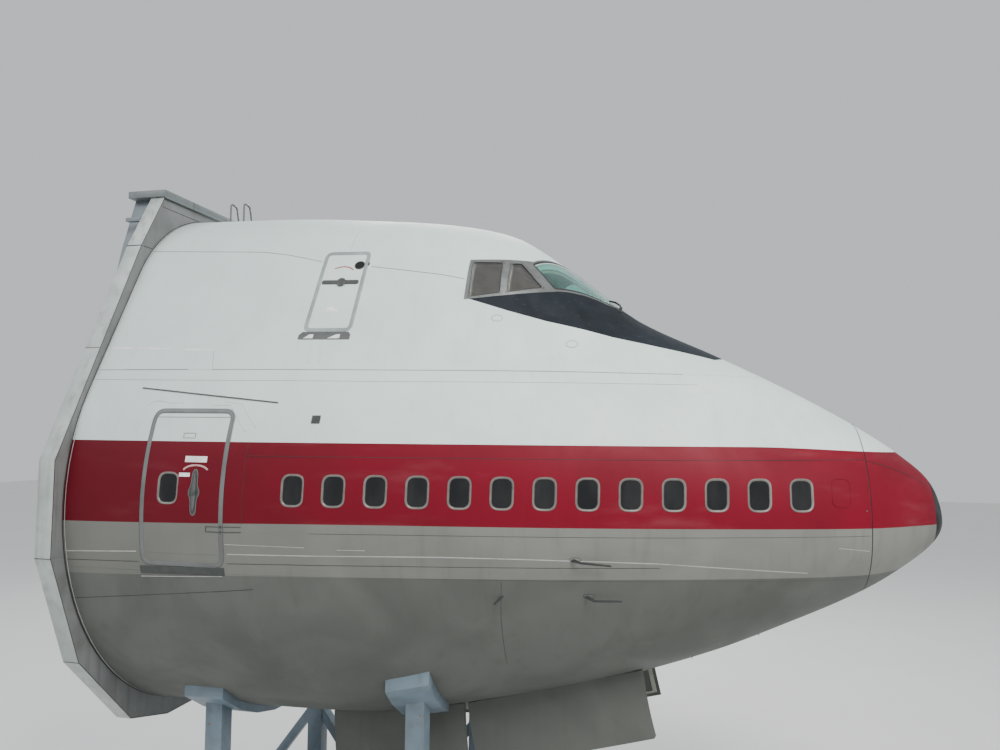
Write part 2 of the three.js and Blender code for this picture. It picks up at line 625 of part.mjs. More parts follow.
// Tyre and rim profiles turn about the axle: radius and offset from the wheel's middle
function turned(profile) {
  const geometry = new THREE.LatheGeometry(
    [...profile, profile[0]].map(([radius, offset]) => new THREE.Vector2(radius, offset)), wheelSegments,
  );
  return solid(geometry);
}
const bothHalves = (half) => [
  ...half.map(([radius, offset]) => [radius, -offset]), ...[...half].reverse(),
];
const tyreShape = turned(bothHalves(tyreProfile.map(({ radius, offset }) => [radius, offset])));
const rimRadius = tyreProfile[0].radius - seat;
const rimShape = turned(bothHalves([
  [rim.bore, rim.width / 2 - rim.hubInset], [rim.hubRadius, rim.width / 2 - rim.hubInset],
  [rim.hubRadius, rim.dish / 2], [rimRadius - rim.lip, rim.dish / 2],
  [rimRadius - rim.lip, rim.width / 2], [rimRadius, rim.width / 2],
]));

const gearGroup = new THREE.Group();
gearGroup.position.set(-gear.station, 0, 0);
gearGroup.add(
  mesh('gear_outer_cylinder', legShape, paint.steel),
  mesh('gear_drag_brace', braceShape, paint.steel),
  mesh('gear_piston_axle', pistonShape, paint.chrome),
  mesh('gear_torque_links', linksShape, paint.steel),
  mesh('taxi_lights', lampsShape, paint.steel),
);
for (const [side, sign] of sides) {
  const parts = [
    mesh(`nose_tyre_${side}`, tyreShape, paint.rubber),
    mesh(`nose_wheel_${side}`, rimShape, paint.steel),
  ];
  for (const part of parts) {
    part.position.set(axleAt.x, (sign * gear.track) / 2, axleAt.z);
    gearGroup.add(part);
  }
}

// A gear door is drawn shut, then turned open about its hinge line
function gearDoor(name, door, sign) {
  const offset = bay.halfWidth - doorHinge.knuckle - doorHinge.play;
  const end = (station) => new THREE.Vector3(-station, sign * offset, bellyAt(station, offset));
  const [front, rear] = [end(door.front), end(door.rear)];
  const reach = [door.front - 100, door.rear + 100];
  const offsets = [sign * door.reach, sign * offset].sort((a, b) => a - b);
  const skin = loft(...reach, 0).subtract(loft(...reach, gearDoorDepth))
    .intersect(block([door.front, door.rear], offsets, [-far, bay.roof]));
  const along = front.clone().sub(rear).normalize();
  const open = THREE.MathUtils.degToRad(door.open);
  const lean = new THREE.Quaternion().setFromUnitVectors(new THREE.Vector3(1, 0, 0), along);
  const trim = new THREE.BoxGeometry(far, far, 2 * doorHinge.trimDrop);
  trim.translate(0, sign * (far / 2 + doorHinge.trim), 0);
  trim.rotateX(-sign * open);
  trim.applyQuaternion(lean);
  trim.translate(...front.clone().add(rear).multiplyScalar(0.5).toArray());
  const leaf = skin.subtract(solid(trim)).add(
    bar(rear.toArray(), front.toArray(), doorHinge.knuckle, 12),
  );
  const pivot = new THREE.Group();
  pivot.position.copy(front);
  pivot.quaternion.setFromAxisAngle(along, sign * open);
  const made = mesh(name, leaf, paint.grey);
  made.position.copy(front).negate();
  pivot.add(made);
  return pivot;
}
const gearDoors = sides.flatMap(([side, sign]) => [
  gearDoor(`gear_door_front_${side}`, frontGearDoor, sign),
  gearDoor(`gear_door_rear_${side}`, rearGearDoor, sign),
]);

const airframe = new THREE.Group();
airframe.position.set(noseTipX, 0, bellyHeight);
airframe.add(...shell, ...doors, ...glass, ...furniture, ...nose, ...rearParts, gearGroup, ...gearDoors);

// Cradle: beams on the floor, posts with knee braces, and pads that fit the belly
const floor = -bellyHeight;
const beamTop = floor + cradle.beam;
const [inner, outer] = [cradle.offset - cradle.beam / 2, cradle.offset + cradle.beam / 2];
const onSide = (sign, near, away) => [sign * near, sign * away].sort((a, b) => a - b);
const clearOfBelly = loft(trestle.frontStation - 1600, cutStation, -seat);
const padLayer = (station) => {
  const range = [station - 500, station + 500];
  return loft(...range, -trestle.padDepth).subtract(loft(...range, -seat));
};
const padRange = (station) => [station - trestle.padLength / 2, station + trestle.padLength / 2];

function post(station, sign, top) {
  const across = onSide(sign, cradle.offset - trestle.post / 2, cradle.offset + trestle.post / 2);
  const upright = block([station - trestle.post / 2, station + trestle.post / 2], across,
    [beamTop + seat, top]);
  const y = sign * cradle.offset;
  const diagonal = (way) => plank([-station + way * kneeBrace.run, y, beamTop - 40],
    [-station, y, beamTop + kneeBrace.rise], trestle.post - 60, kneeBrace.thickness);
  return upright.add(diagonal(1)).add(diagonal(-1))
    .subtract(block([0, cutStation], [-far, far], [-far, beamTop + seat]));
}

const cradleParts = sides.flatMap(([side, sign]) => {
  const frontPost = post(trestle.frontStation, sign, bellyAt(trestle.frontStation, 1800) + 200)
    .add(padLayer(trestle.frontStation).intersect(
      block(padRange(trestle.frontStation), onSide(sign, frontPad.inner, frontPad.outer), [-far, far / 2]),
    ))
    .subtract(clearOfBelly);
  const rearTop = bellyAt(trestle.rearStation, cradle.offset) + 200;
  const underPad = loft(trestle.rearStation - 500, trestle.rearStation + 500, -trestle.padDepth - seat);
  return [
    mesh(`cradle_post_front_${side}`, frontPost, paint.cradle),
    mesh(`cradle_post_rear_${side}`, post(trestle.rearStation, sign, rearTop).subtract(underPad),
      paint.cradle),
    mesh(`cradle_beam_${side}`, block([cradle.front, cradle.rear], onSide(sign, inner, outer),
      [floor, beamTop]), paint.cradle),
  ];
});
cradleParts.push(mesh('cradle_pad_rear', padLayer(trestle.rearStation).intersect(
  block(padRange(trestle.rearStation), [-rearPadReach, rearPadReach], [-far, far / 2]),
), paint.cradle));
cradle.crossStations.forEach((station, i) => cradleParts.push(mesh(
  `cradle_cross_${i + 1}`,
  block([station - 110, station + 110], [-inner + seat, inner - seat], [floor, floor + 220]),
  paint.cradle,
)));
const cradleGroup = new THREE.Group();
cradleGroup.position.copy(airframe.position);
cradleGroup.add(...cradleParts);

const group = new THREE.Group();
group.add(airframe, cradleGroup);

export default group;
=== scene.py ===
import json
import math

import bmesh
import bpy
import numpy as np
from bpy.props import FloatProperty, FloatVectorProperty, IntProperty, PointerProperty
from mathutils import Matrix, Vector


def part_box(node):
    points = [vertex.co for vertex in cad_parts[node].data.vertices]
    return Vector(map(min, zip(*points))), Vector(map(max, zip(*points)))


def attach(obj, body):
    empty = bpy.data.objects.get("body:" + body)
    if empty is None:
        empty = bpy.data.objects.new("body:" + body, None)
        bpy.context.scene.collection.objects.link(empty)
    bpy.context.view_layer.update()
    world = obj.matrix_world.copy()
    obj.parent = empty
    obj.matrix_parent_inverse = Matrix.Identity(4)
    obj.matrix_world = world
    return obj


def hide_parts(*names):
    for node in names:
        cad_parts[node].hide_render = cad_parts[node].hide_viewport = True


bl_info = {
    "name": "Airliner nose section",
    "version": (1, 0, 0),
    "blender": (4, 5, 0),
    "location": "3D View > Sidebar > Nose section",
    "description": "Builds the skins, glass, doors, gear and finishes of a kept airliner nose section",
    "category": "Add Mesh",
}

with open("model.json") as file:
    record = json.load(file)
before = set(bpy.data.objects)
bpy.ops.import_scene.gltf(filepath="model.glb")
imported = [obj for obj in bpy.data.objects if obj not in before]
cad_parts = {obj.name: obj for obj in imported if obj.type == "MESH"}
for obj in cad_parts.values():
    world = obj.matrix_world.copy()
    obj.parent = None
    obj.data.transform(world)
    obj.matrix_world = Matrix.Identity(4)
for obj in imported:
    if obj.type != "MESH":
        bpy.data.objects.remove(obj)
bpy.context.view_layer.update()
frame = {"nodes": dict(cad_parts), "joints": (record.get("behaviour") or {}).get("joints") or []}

# Where the airframe stands, from the frame: the nose tip's place and the belly's lowest line
NOSE_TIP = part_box("nose_cap")[1].x
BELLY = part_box("belly_aft")[0].z
SIDES = (("right", -1), ("left", 1))

# Fuselage sections, by station aft of the nose tip and height above the belly line:
# station, belly, crown, half the width, height where it is widest, radius of the crown
SECTIONS = (
    (0.000, 3.150, 3.150, 0.000, 3.150, 0.000),
    (0.040, 2.970, 3.405, 0.260, 3.135, 0.238),
    (0.150, 2.820, 3.660, 0.500, 3.140, 0.450),
    (0.500, 2.520, 4.000, 0.850, 3.130, 0.735),
    (1.120, 2.130, 4.425, 1.330, 3.070, 1.180),
    (2.000, 1.690, 4.925, 1.690, 3.120, 1.340),
    (3.000, 1.240, 5.425, 2.010, 3.190, 1.490),
    (4.000, 0.885, 5.905, 2.290, 3.235, 1.615),
    (5.000, 0.605, 6.675, 2.530, 3.260, 1.710),
    (6.000, 0.365, 7.295, 2.725, 3.265, 1.790),
    (7.000, 0.165, 7.505, 2.910, 3.270, 1.870),
    (8.000, 0.030, 7.605, 3.090, 3.270, 1.950),
    (9.500, 0.005, 7.705, 3.230, 3.265, 2.070),
    (11.230, 0.000, 7.735, 3.255, 3.260, 2.185),
)
CUT = SECTIONS[-1][0]
LEAN_LIMIT = 0.98

# Steps of a whole section, on each side: belly, shoulder, flank and crown
RING_STEPS = (28, 6, 6, 24)

# Flight deck glass: side panes by station and height, windshield by station and offset
SIDE_PANES = {
    "front": ((5.728, 6.616), (5.604, 6.631), (5.288, 6.266), (5.715, 6.177)),
    "rear": ((6.229, 6.624), (5.845, 6.628), (5.819, 6.166), (6.220, 6.107)),
}
WINDSHIELD = ((5.440, 1.061), (5.000, 0.045), (4.130, 0.045), (4.490, 0.640), (4.880, 1.000),
              (5.130, 1.200))
SURROUND = ((6.283, 6.672), (5.460, 6.700), (5.110, 6.213), (5.714, 6.130), (6.281, 6.060))

# Lower edge of the black panel ahead of the glass, by station and height, and how it closes
GLARE_LOW = ((6.262, 6.084), (5.686, 5.902), (5.183, 5.764), (4.691, 5.659), (4.323, 5.569),
             (3.953, 5.503), (3.443, 5.404), (2.964, 5.301))
GLARE_HIGH = ((2.860, 5.330), (2.820, 5.900), (3.900, 6.350), (5.200, 6.420), (6.262, 6.350))

# Where the weather crease runs along the upper deck, by station and height
CREASE = ((11.20, 6.950), (10.41, 6.916), (9.35, 6.868), (8.94, 6.805), (8.69, 6.749), (8.42, 6.685),
          (7.66, 6.590), (6.66, 6.452), (6.31, 6.378))


def length(name, description, default, low=0.0):
    """A size or a place in metres that a user may change."""
    return FloatProperty(name=name, description=description, default=default, min=low, unit="LENGTH")


def angle(name, description, degrees):
    """A turn that a user may change."""
    return FloatProperty(name=name, description=description, default=math.radians(degrees),
                         subtype="ANGLE", unit="ROTATION")


def colour(name, description, default):
    """A colour that a user may change."""
    return FloatVectorProperty(name=name, description=description, default=default,
                               min=0.0, max=1.0, subtype="COLOR")


class HullSizes(bpy.types.PropertyGroup):
    lower_lap: length("Lower lap", "Height of the lap between belly and side", 2.476)
    upper_lap: length("Upper lap", "Height of the lap between side and crown", 5.058)
    skin: length("Skin and frames", "Depth of the wall from its outer face inwards", 0.090)
    seam: length("Radome seam", "Station of the seam behind the radome", 1.120)
    seam_gap: length("Seam gap", "Width of the gap at the radome seam", 0.012)
    cap: length("Nose cap", "Station where the nose cap ends", 0.187)
    band_low: length("Band bottom", "Height of the red band's lower edge", 3.126)
    band_high: length("Band top", "Height of the red band's upper edge", 4.117)


class WindowSizes(bpy.types.PropertyGroup):
    count: IntProperty(name="Windows", description="Cabin windows on a side", default=13, min=1)
    first: length("First window", "Station of the window nearest the nose", 1.968)
    pitch: length("Pitch", "Distance between windows", 0.508)
    height: length("Height", "Height of the windows' middle", 3.531)
    frame_width: length("Frame width", "Outer width of a window frame", 0.290)
    frame_height: length("Frame height", "Outer height of a window frame", 0.405)
    frame_rim: length("Frame rim", "Width of a frame's metal rim", 0.026)
    recess: length("Recess", "How far the glass lies below the skin", 0.012)


class DoorSizes(bpy.types.PropertyGroup):
    main_front: length("Main door front", "Station of the front edge", 8.935)
    main_rear: length("Main door rear", "Station of the rear edge", 10.090)
    main_sill: length("Main door sill", "Height of the lower edge", 2.551)
    main_head: length("Main door head", "Height of the upper edge", 4.534)
    main_corner: length("Main door corner", "Length of a rounded corner", 0.150)
    upper_front: length("Upper door front", "Station of the front edge", 7.717)
    upper_rear: length("Upper door rear", "Station of the rear edge", 8.379)
    upper_sill: length("Upper door sill", "Height of the lower edge", 5.594)
    upper_head: length("Upper door head", "Height of the upper edge", 6.825)
    upper_corner: length("Upper door corner", "Length of a rounded corner", 0.100)
    gap: length("Door gap", "Gap round a door's leaf", 0.004)
    trim: length("Door trim", "Width of the moulding round the main door", 0.056)


class GearSizes(bpy.types.PropertyGroup):
    tyre_radius: length("Tyre radius", "Outer radius of a nose tyre", 0.620)
    tyre_half: length("Half tyre width", "Half the width of a nose tyre", 0.215)
    rim_radius: length("Rim radius", "Radius of the wheel at the bead", 0.262)
    axle_radius: length("Axle radius", "Radius of the wheel's bore", 0.0556)
    grooves: IntProperty(name="Grooves", description="Grooves round a tyre", default=4, min=0)
    wheel_bolts: IntProperty(name="Wheel bolts", description="Tie bolts of a wheel", default=12, min=3)


class PaintColours(bpy.types.PropertyGroup):
    white: colour("White", "Upper paint", (0.740, 0.855, 0.815))
    band: colour("Band", "Paint of the band along the windows", (0.185, 0.001, 0.014))
    # Lower white and belly grey are darker than their paint: in part they are painted shade of the lower hull.
    lower: colour("Lower white", "Weathered paint below the band", (0.205, 0.209, 0.188))
    belly: colour("Belly", "Grey belly paint", (0.112, 0.117, 0.107))
    glare: colour("Glare panel", "Black paint ahead of the glass", (0.0070, 0.0098, 0.0135))
    cap: colour("Nose cap", "Rain erosion coating", (0.018, 0.023, 0.022))
    trim: colour("Trim", "Grey mouldings round doors", (0.125, 0.130, 0.130))
    primer: colour("Primer", "Paint inside the wheel bay", (0.330, 0.360, 0.300))
    gear: colour("Gear paint", "Light grey of the landing gear", (0.520, 0.540, 0.535))
    cradle: colour("Cradle paint", "Blue-grey of the steel cradle", (0.150, 0.205, 0.250))
    # Painted shade: the collar sheet is darkened for its shaded front face; the side cover is the same metal
    # lightened as painted light.
    sheet: colour("Collar sheet", "Weathered metal of the collar", (0.200, 0.208, 0.205))
    floor: colour("Floor", "Plain studio floor", (0.800, 0.800, 0.790))


class StageSettings(bpy.types.PropertyGroup):
    focal: FloatProperty(name="Focal length", description="Camera lens, in millimetres on 36",
                         default=29.1, min=5.0)
    yaw: angle("Yaw", "Turn of the view towards the tail", 13.5)
    pitch: angle("Pitch", "Upward tilt of the view", 3.71)
    roll: angle("Roll", "Roll of the view", 0.55)
    camera_station: length("Camera station", "Camera, aft of the nose tip", 3.254)
    camera_offset: length("Camera offset", "Camera, to the aircraft's left", -12.222, -100.0)
    camera_height: length("Camera height", "Camera, above the belly line", 4.331)
    key: FloatProperty(name="Key light", description="Power of the main light, in watts",
                       default=5600.0, min=0.0)
    sky: FloatProperty(name="Sky", description="Strength of the even light", default=0.75, min=0.0)


# The fuselage as a surface

def fine_sections():
    """Every column of SECTIONS at fine even steps of the station's root, as a smooth curve."""
    rows = np.array(SECTIONS)
    at = np.sqrt(rows[:, 0])
    root = np.linspace(0.0, at[-1], 8001)
    index = np.clip(np.searchsorted(at, root, side="right") - 1, 0, len(at) - 2)
    span = at[index + 1] - at[index]
    t = (root - at[index]) / span
    columns = []
    for column in rows.T[1:]:
        rise = np.diff(column) / np.diff(at)
        slope = np.zeros_like(column)
        slope[0], slope[-1] = rise[0], rise[-1]
        before, after = rise[:-1], rise[1:]
        same = before * after > 0
        slope[1:-1][same] = 2 * before[same] * after[same] / (before[same] + after[same])
        columns.append((1 + 2 * t) * (1 - t) ** 2 * column[index]
                       + t * (1 - t) ** 2 * span * slope[index]
                       + t * t * (3 - 2 * t) * column[index + 1]
                       + t * t * (t - 1) * span * slope[index + 1])
    return root, columns


ROOTS, COLUMNS = fine_sections()


def section(station):
    """Belly, crown, half width, widest height and crown radius at a station."""
    root = np.sqrt(np.clip(station, 0.0, CUT))
    return [np.interp(root, ROOTS, column) for column in COLUMNS]


def lean_of(crown, half, widest, lobe):
    """Angle at which the shoulder's arc hands over to the flank."""
    rise = np.maximum(crown - lobe - widest, 1e-3)
    return np.arcsin(np.clip((half - lobe) / rise, 0.0, LEAN_LIMIT))


def ring(station, inset=0.0):
    """One whole section as offsets and heights, up the left side and down the right."""
    belly, crown, half, widest, lobe = (float(v) for v in section(station))
    lean = float(lean_of(crown, half, widest, lobe))
    centre = crown - lobe
    half, depth, lobe = half - inset, widest - belly - inset, lobe - inset
    low, shoulder, flank, top = RING_STEPS
    side = [(half * math.sin(a), widest - depth * math.cos(a))
            for a in np.linspace(0, math.pi / 2, low + 1)]
    side += [(half * math.cos(a), widest + half * math.sin(a))
             for a in np.linspace(0, lean, shoulder + 1)[1:]]
    start, end = side[-1], (lobe * math.cos(lean), centre + lobe * math.sin(lean))
    side += [tuple(np.array(start) * (1 - t) + np.array(end) * t)
             for t in np.linspace(0, 1, flank + 1)[1:]]
    side += [(lobe * math.cos(a), centre + lobe * math.sin(a))
             for a in np.linspace(lean, math.pi / 2, top + 1)[1:]]
    side[0], side[-1] = (0.0, side[0][1]), (0.0, side[-1][1])
    return side + [(-y, z) for y, z in side[-2:0:-1]]


def out_of_skin(points):
    """How far points lie outside the skin, each measured in its own section."""
    belly, crown, half, widest, lobe = section(np.maximum(NOSE_TIP - points[:, 0], 1e-5))
    half, lobe = np.maximum(half, 1e-4), np.maximum(lobe, 1e-4)
    y, z = np.abs(points[:, 1]), points[:, 2] - BELLY
    centre, depth = crown - lobe, np.maximum(widest - belly, 1e-4)
    lean = lean_of(crown, half, widest, lobe)
    u, v = y / half, (z - widest) / depth
    reach = np.maximum(np.hypot(u, v), 1e-6)
    low = (reach - 1) * reach / np.maximum(np.hypot(u / half, v / depth), 1e-6)
    shoulder = np.hypot(y, z - widest) - half
    flank = y * np.cos(lean) + (z - widest) * np.sin(lean) - half
    top = np.hypot(y, z - centre) - lobe
    return np.select([z < widest, np.arctan2(z - widest, y) < lean, np.arctan2(z - centre, y) > lean],
                     [low, shoulder, top], flank)


def skin_normals(points):
    """Outward directions of the skin near points."""
    slope = np.stack([out_of_skin(points + step) - out_of_skin(points - step)
                      for step in np.eye(3) * 1e-3], axis=1)
    return slope / np.maximum(np.linalg.norm(slope, axis=1, keepdims=True), 1e-9)


def half_breadth(station, height):
    """Offset of the skin from the centreline at stations and heights."""
    belly, crown, half, widest, lobe = section(station)
    centre, lean = crown - lobe, lean_of(crown, half, widest, lobe)
    low = half * np.sqrt(np.clip(1 - ((height - widest) / (widest - belly)) ** 2, 0, None))
    shoulder = np.sqrt(np.clip(half ** 2 - (height - widest) ** 2, 0, None))
    flank = (half - (height - widest) * np.sin(lean)) / np.cos(lean)
    top = np.sqrt(np.clip(lobe ** 2 - (height - centre) ** 2, 0, None))
    return np.select([height < widest, height < widest + half * np.sin(lean),
                      height < centre + lobe * np.sin(lean)], [low, shoulder, flank], top)


def out_from(rows, offset, height):
    """World points at offsets and heights, moved out of the skin by the rows' third column."""
    points = np.stack([NOSE_TIP - rows[:, 0], offset, BELLY + height], axis=1)
    return points + skin_normals(points) * rows[:, 2:3]


def on_side(rows, side):
    """World points of rows of station, height and distance out of the skin, on one side."""
    rows = np.array(rows, float).reshape(-1, 3)
    return out_from(rows, side * half_breadth(rows[:, 0], rows[:, 1]), rows[:, 1])


def on_crown(rows):
    """World points of rows of station, offset and distance out of the skin, along the top."""
    rows = np.array(rows, float).reshape(-1, 3)
    _, crown, _, _, lobe = section(rows[:, 0])
    rise = np.sqrt(np.clip(lobe ** 2 - rows[:, 1] ** 2, 0, None))
    return out_from(rows, rows[:, 1], crown - lobe + rise)


def on_belly(rows):
    """World points of rows of station, offset and distance out of the skin, underneath."""
    rows = np.array(rows, float).reshape(-1, 3)
    belly, _, half, widest, _ = section(rows[:, 0])
    fall = (widest - belly) * np.sqrt(np.clip(1 - (rows[:, 1] / half) ** 2, 0, None))
    return out_from(rows, rows[:, 1], widest - fall)


def at(station, offset, height):
    """World point of a station, an offset and a height above the belly line."""
    return Vector((NOSE_TIP - station, offset, BELLY + height))


def across(station, height, offset):
    """World point for an outline that is drawn by station and height."""
    return at(station, offset, height)


# Shapes: each is a list of points and a list of faces

CORNER_STEPS = 6


def merge(*shapes):
    """Several shapes as one."""
    points, faces = [], []
    for part_points, part_faces in shapes:
        base = len(points)
        points += [tuple(p) for p in part_points]
        faces += [tuple(i + base for i in face) for face in part_faces]
    return points, faces


def placed(shape, matrix):
    """A shape moved by a matrix."""
    return [tuple(matrix @ Vector(p)) for p in shape[0]], shape[1]


def grid_faces(rows, width, looped=False, capped=True):
    """Faces that join rows of points, each row a ring. The ends are capped, or joined if looped."""
    faces = []
    for i in range(rows if looped else rows - 1):
        a, b = i * width, (i + 1) % rows * width
        faces += [(a + k, a + (k + 1) % width, b + (k + 1) % width, b + k) for k in range(width)]
    if capped and not looped:
        faces += [tuple(reversed(range(width))), tuple(range((rows - 1) * width, rows * width))]
    return faces


def turns(count):
    """Even angles round a circle."""
    return [2 * math.pi * k / count for k in range(count)]


def box(low, high):
    """A block between two corners."""
    points = [(x, y, z) for x in (low[0], high[0]) for y in (low[1], high[1]) for z in (low[2], high[2])]
    return points, [(0, 1, 3, 2), (4, 6, 7, 5), (0, 4, 5, 1), (2, 3, 7, 6), (0, 2, 6, 4), (1, 5, 7, 3)]


def tube(path, radius, sides=12, closed=False, flatten=1.0):
    """A round bar along points. radius is one size or one for each point."""
    path = [Vector(p) for p in path]
    count = len(path)
    radii = [radius] * count if isinstance(radius, (int, float)) else list(radius)
    ahead = [((path[(i + 1) % count] if closed else path[min(i + 1, count - 1)])
              - (path[i - 1] if closed or i else path[0])).normalized() for i in range(count)]
    out = ahead[0].orthogonal().normalized()
    points = []
    for here, size, line in zip(path, radii, ahead):
        out = (out - line * out.dot(line)).normalized()
        other = line.cross(out)
        points += [tuple(here + out * size * math.cos(a) + other * size * flatten * math.sin(a))
                   for a in turns(sides)]
    return points, grid_faces(count, sides, closed)


def lathe(profile, centre, axis, segments=48):
    """A profile of radius and offset turned about an axis. It closes on itself or ends on the axis."""
    turn = Vector((0, 0, 1)).rotation_difference(Vector(axis)).to_matrix()
    points = [tuple(Vector(centre) + turn @ Vector((radius * math.cos(a), radius * math.sin(a), offset)))
              for radius, offset in profile for a in turns(segments)]
    faces = [face for face in grid_faces(len(profile), segments, True)
             if max(profile[face[0] // segments][0], profile[face[2] // segments][0]) > 1e-9]
    return points, faces


def prism(outline, place, low, high):
    """An outline given thickness between two levels: place(u, v, level) gives a point."""
    points = [tuple(place(u, v, level)) for level in (low, high) for u, v in outline]
    return points, grid_faces(2, len(outline))


def stacked(outline_of, rows, place, looped=False):
    """Outlines at rows of inset and level, joined up. place turns rows of u, v, level into points."""
    points = []
    for inset, level in rows:
        points += [tuple(p) for p in place([(u, v, level) for u, v in outline_of(inset)])]
    return points, grid_faces(len(rows), len(points) // len(rows), looped)


def grown(corners, by):
    """A convex outline with every edge moved outwards by a distance."""
    points = np.array(corners, float)
    middle = points.mean(0)
    edges = []
    for a, b in zip(points, np.roll(points, -1, axis=0)):
        normal = np.array([b[1] - a[1], a[0] - b[0]]) / np.linalg.norm(b - a)
        normal *= math.copysign(1.0, normal @ (a - middle))
        edges.append((normal, normal @ a + by))
    return [tuple(np.linalg.solve([n0, n1], [d0, d1]))
            for (n0, d0), (n1, d1) in zip(edges[-1:] + edges[:-1], edges)]


def rounded(corners, radius):
    """A closed outline whose corners are curves that start a radius away from them."""
    result = []
    corners = [np.array(corner, float) for corner in corners]
    for before, here, after in zip(corners[-1:] + corners[:-1], corners, corners[1:] + corners[:1]):
        start, end = (here + (other - here) / np.linalg.norm(other - here) * radius
                      for other in (before, after))
        for t in np.linspace(0, 1, CORNER_STEPS + 1):
            result.append(tuple((1 - t) ** 2 * start + 2 * t * (1 - t) * here + t * t * end))
    return result


def rectangle(middle, size):
    """Corners of an upright rectangle, by station and height."""
    return [(middle[0] + i * size[0] / 2, middle[1] + k * size[1] / 2)
            for i, k in ((-1, -1), (1, -1), (1, 1), (-1, 1))]


def oval(middle, size, count):
    """An upright oval, by station and height."""
    return [(middle[0] + size[0] / 2 * math.cos(a), middle[1] + size[1] / 2 * math.sin(a))
            for a in turns(count)]


def oval_of(middle, size, count=24):
    """An upright oval that can be taken in: gives its outline for an inset."""
    return lambda inset: oval(middle, [span - 2 * inset for span in size], count)


def between(path, step):
    """A line with points added so that none are further apart than a step."""
    result = []
    for a, b in zip(path, path[1:]):
        a, b = np.array(a, float), np.array(b, float)
        parts = max(1, math.ceil(np.linalg.norm(b - a) / step))
        result += [tuple(a + (b - a) * k / parts) for k in range(parts)]
    return result + [tuple(path[-1])]


def filled(outline, step):
    """A closed outline with points added so that none are further apart than a step."""
    return between(list(outline) + [outline[0]], step)[:-1]


def smooth_line(points, parts=4):
    """A curve through points, as more points."""
    points = [np.array(p, float) for p in points]
    result = []
    for i in range(len(points) - 1):
        p0, p1, p2 = points[max(i - 1, 0)], points[i], points[i + 1]
        p3 = points[min(i + 2, len(points) - 1)]
        for k in range(parts):
            t = k / parts
            result.append(tuple(0.5 * (2 * p1 + (p2 - p0) * t + (2 * p0 - 5 * p1 + 4 * p2 - p3) * t * t
                                       + (3 * p1 - p0 - 3 * p2 + p3) * t ** 3)))
    return result + [tuple(points[-1])]


def moulding(path, profile, place, looped=True):
    """A strip that follows a line on the skin. profile is a closed section of across and out."""
    line = np.array(path, float)
    ahead = np.roll(line, -1, axis=0) - np.roll(line, 1, axis=0) if looped else np.gradient(line, axis=0)
    ahead /= np.maximum(np.linalg.norm(ahead, axis=1, keepdims=True), 1e-9)
    normal = np.stack([-ahead[:, 1], ahead[:, 0]], axis=1)
    rows = [(*(p + n * offset), out) for p, n in zip(line, normal) for offset, out in profile]
    return [tuple(p) for p in place(rows)], grid_faces(len(line), len(profile), looped)


def strip_section(width, out, root=0.002):
    """Section of a flat strip with eased edges."""
    ease = min(abs(out), width / 4)
    return ((-width / 2, -root), (-width / 2, out - ease * 0.6), (-width / 2 + ease, out),
            (width / 2 - ease, out), (width / 2, out - ease * 0.6), (width / 2, -root))


def laid(side):
    """Places rows on the skin of one side."""
    return lambda rows: on_side(rows, side)


def strip(path, side, width, out, step=None):
    """A flat strip along a line on the skin of one side."""
    line = between(path, step) if step else path
    return moulding(line, strip_section(width, out), laid(side), looped=False)


def edging(outline, side, width, out, step=0.03, root=0.002):
    """A flat strip round an outline on the skin of one side."""
    return moulding(filled(outline, step), strip_section(width, out, root), laid(side))


def pad(outline_of, side, *levels, looped=False):
    """A pad on the skin of one side. A level is an inset of its outline and a distance out."""
    return stacked(outline_of, levels, laid(side), looped)


def plate(outline, side, out, low=-0.001):
    """A flat plate on the skin of one side."""
    return pad(lambda inset: outline, side, (0, low), (0, out))


# Objects made from shapes

def linked(name, mesh):
    """An object of a mesh, in the scene."""
    made = bpy.data.objects.new(name, mesh)
    bpy.context.scene.collection.objects.link(made)
    return made


def as_object(name, shape, repair=True):
    """A mesh object of a shape. Repair joins its points and turns its faces outwards."""
    mesh = bpy.data.meshes.new(name)
    mesh.from_pydata([tuple(p) for p in shape[0]], [], [tuple(f) for f in shape[1]])
    if repair:
        work = bmesh.new()
        work.from_mesh(mesh)
        bmesh.ops.remove_doubles(work, verts=work.verts, dist=1e-5)
        bmesh.ops.recalc_face_normals(work, faces=work.faces)
        work.to_mesh(mesh)
        work.free()
    return linked(name, mesh)


def drop(made):
    """Removes an object that only helped to make others."""
    mesh = made.data
    bpy.data.objects.remove(made)
    if not mesh.users:
        bpy.data.meshes.remove(mesh)


def settle(made):
    """Turns an object's modifiers into its plain mesh."""
    graph = bpy.context.evaluated_depsgraph_get()
    mesh = bpy.data.meshes.new_from_object(made.evaluated_get(graph))
    made.modifiers.clear()
    old, made.data = made.data, mesh
    bpy.data.meshes.remove(old)
    mesh.name = made.name
    return made


def carve(made, tool, operation="DIFFERENCE"):
    """Cuts, joins or intersects an object with a shape or another object."""
    other = as_object("tool", tool) if isinstance(tool, tuple) else tool
    modifier = made.modifiers.new("carve", "BOOLEAN")
    modifier.operation, modifier.solver, modifier.object = operation, "MANIFOLD", other
    settle(made)
    if not made.data.polygons:
        raise RuntimeError(f"{made.name}: nothing is left after {operation.lower()}")
    drop(other)
    return made


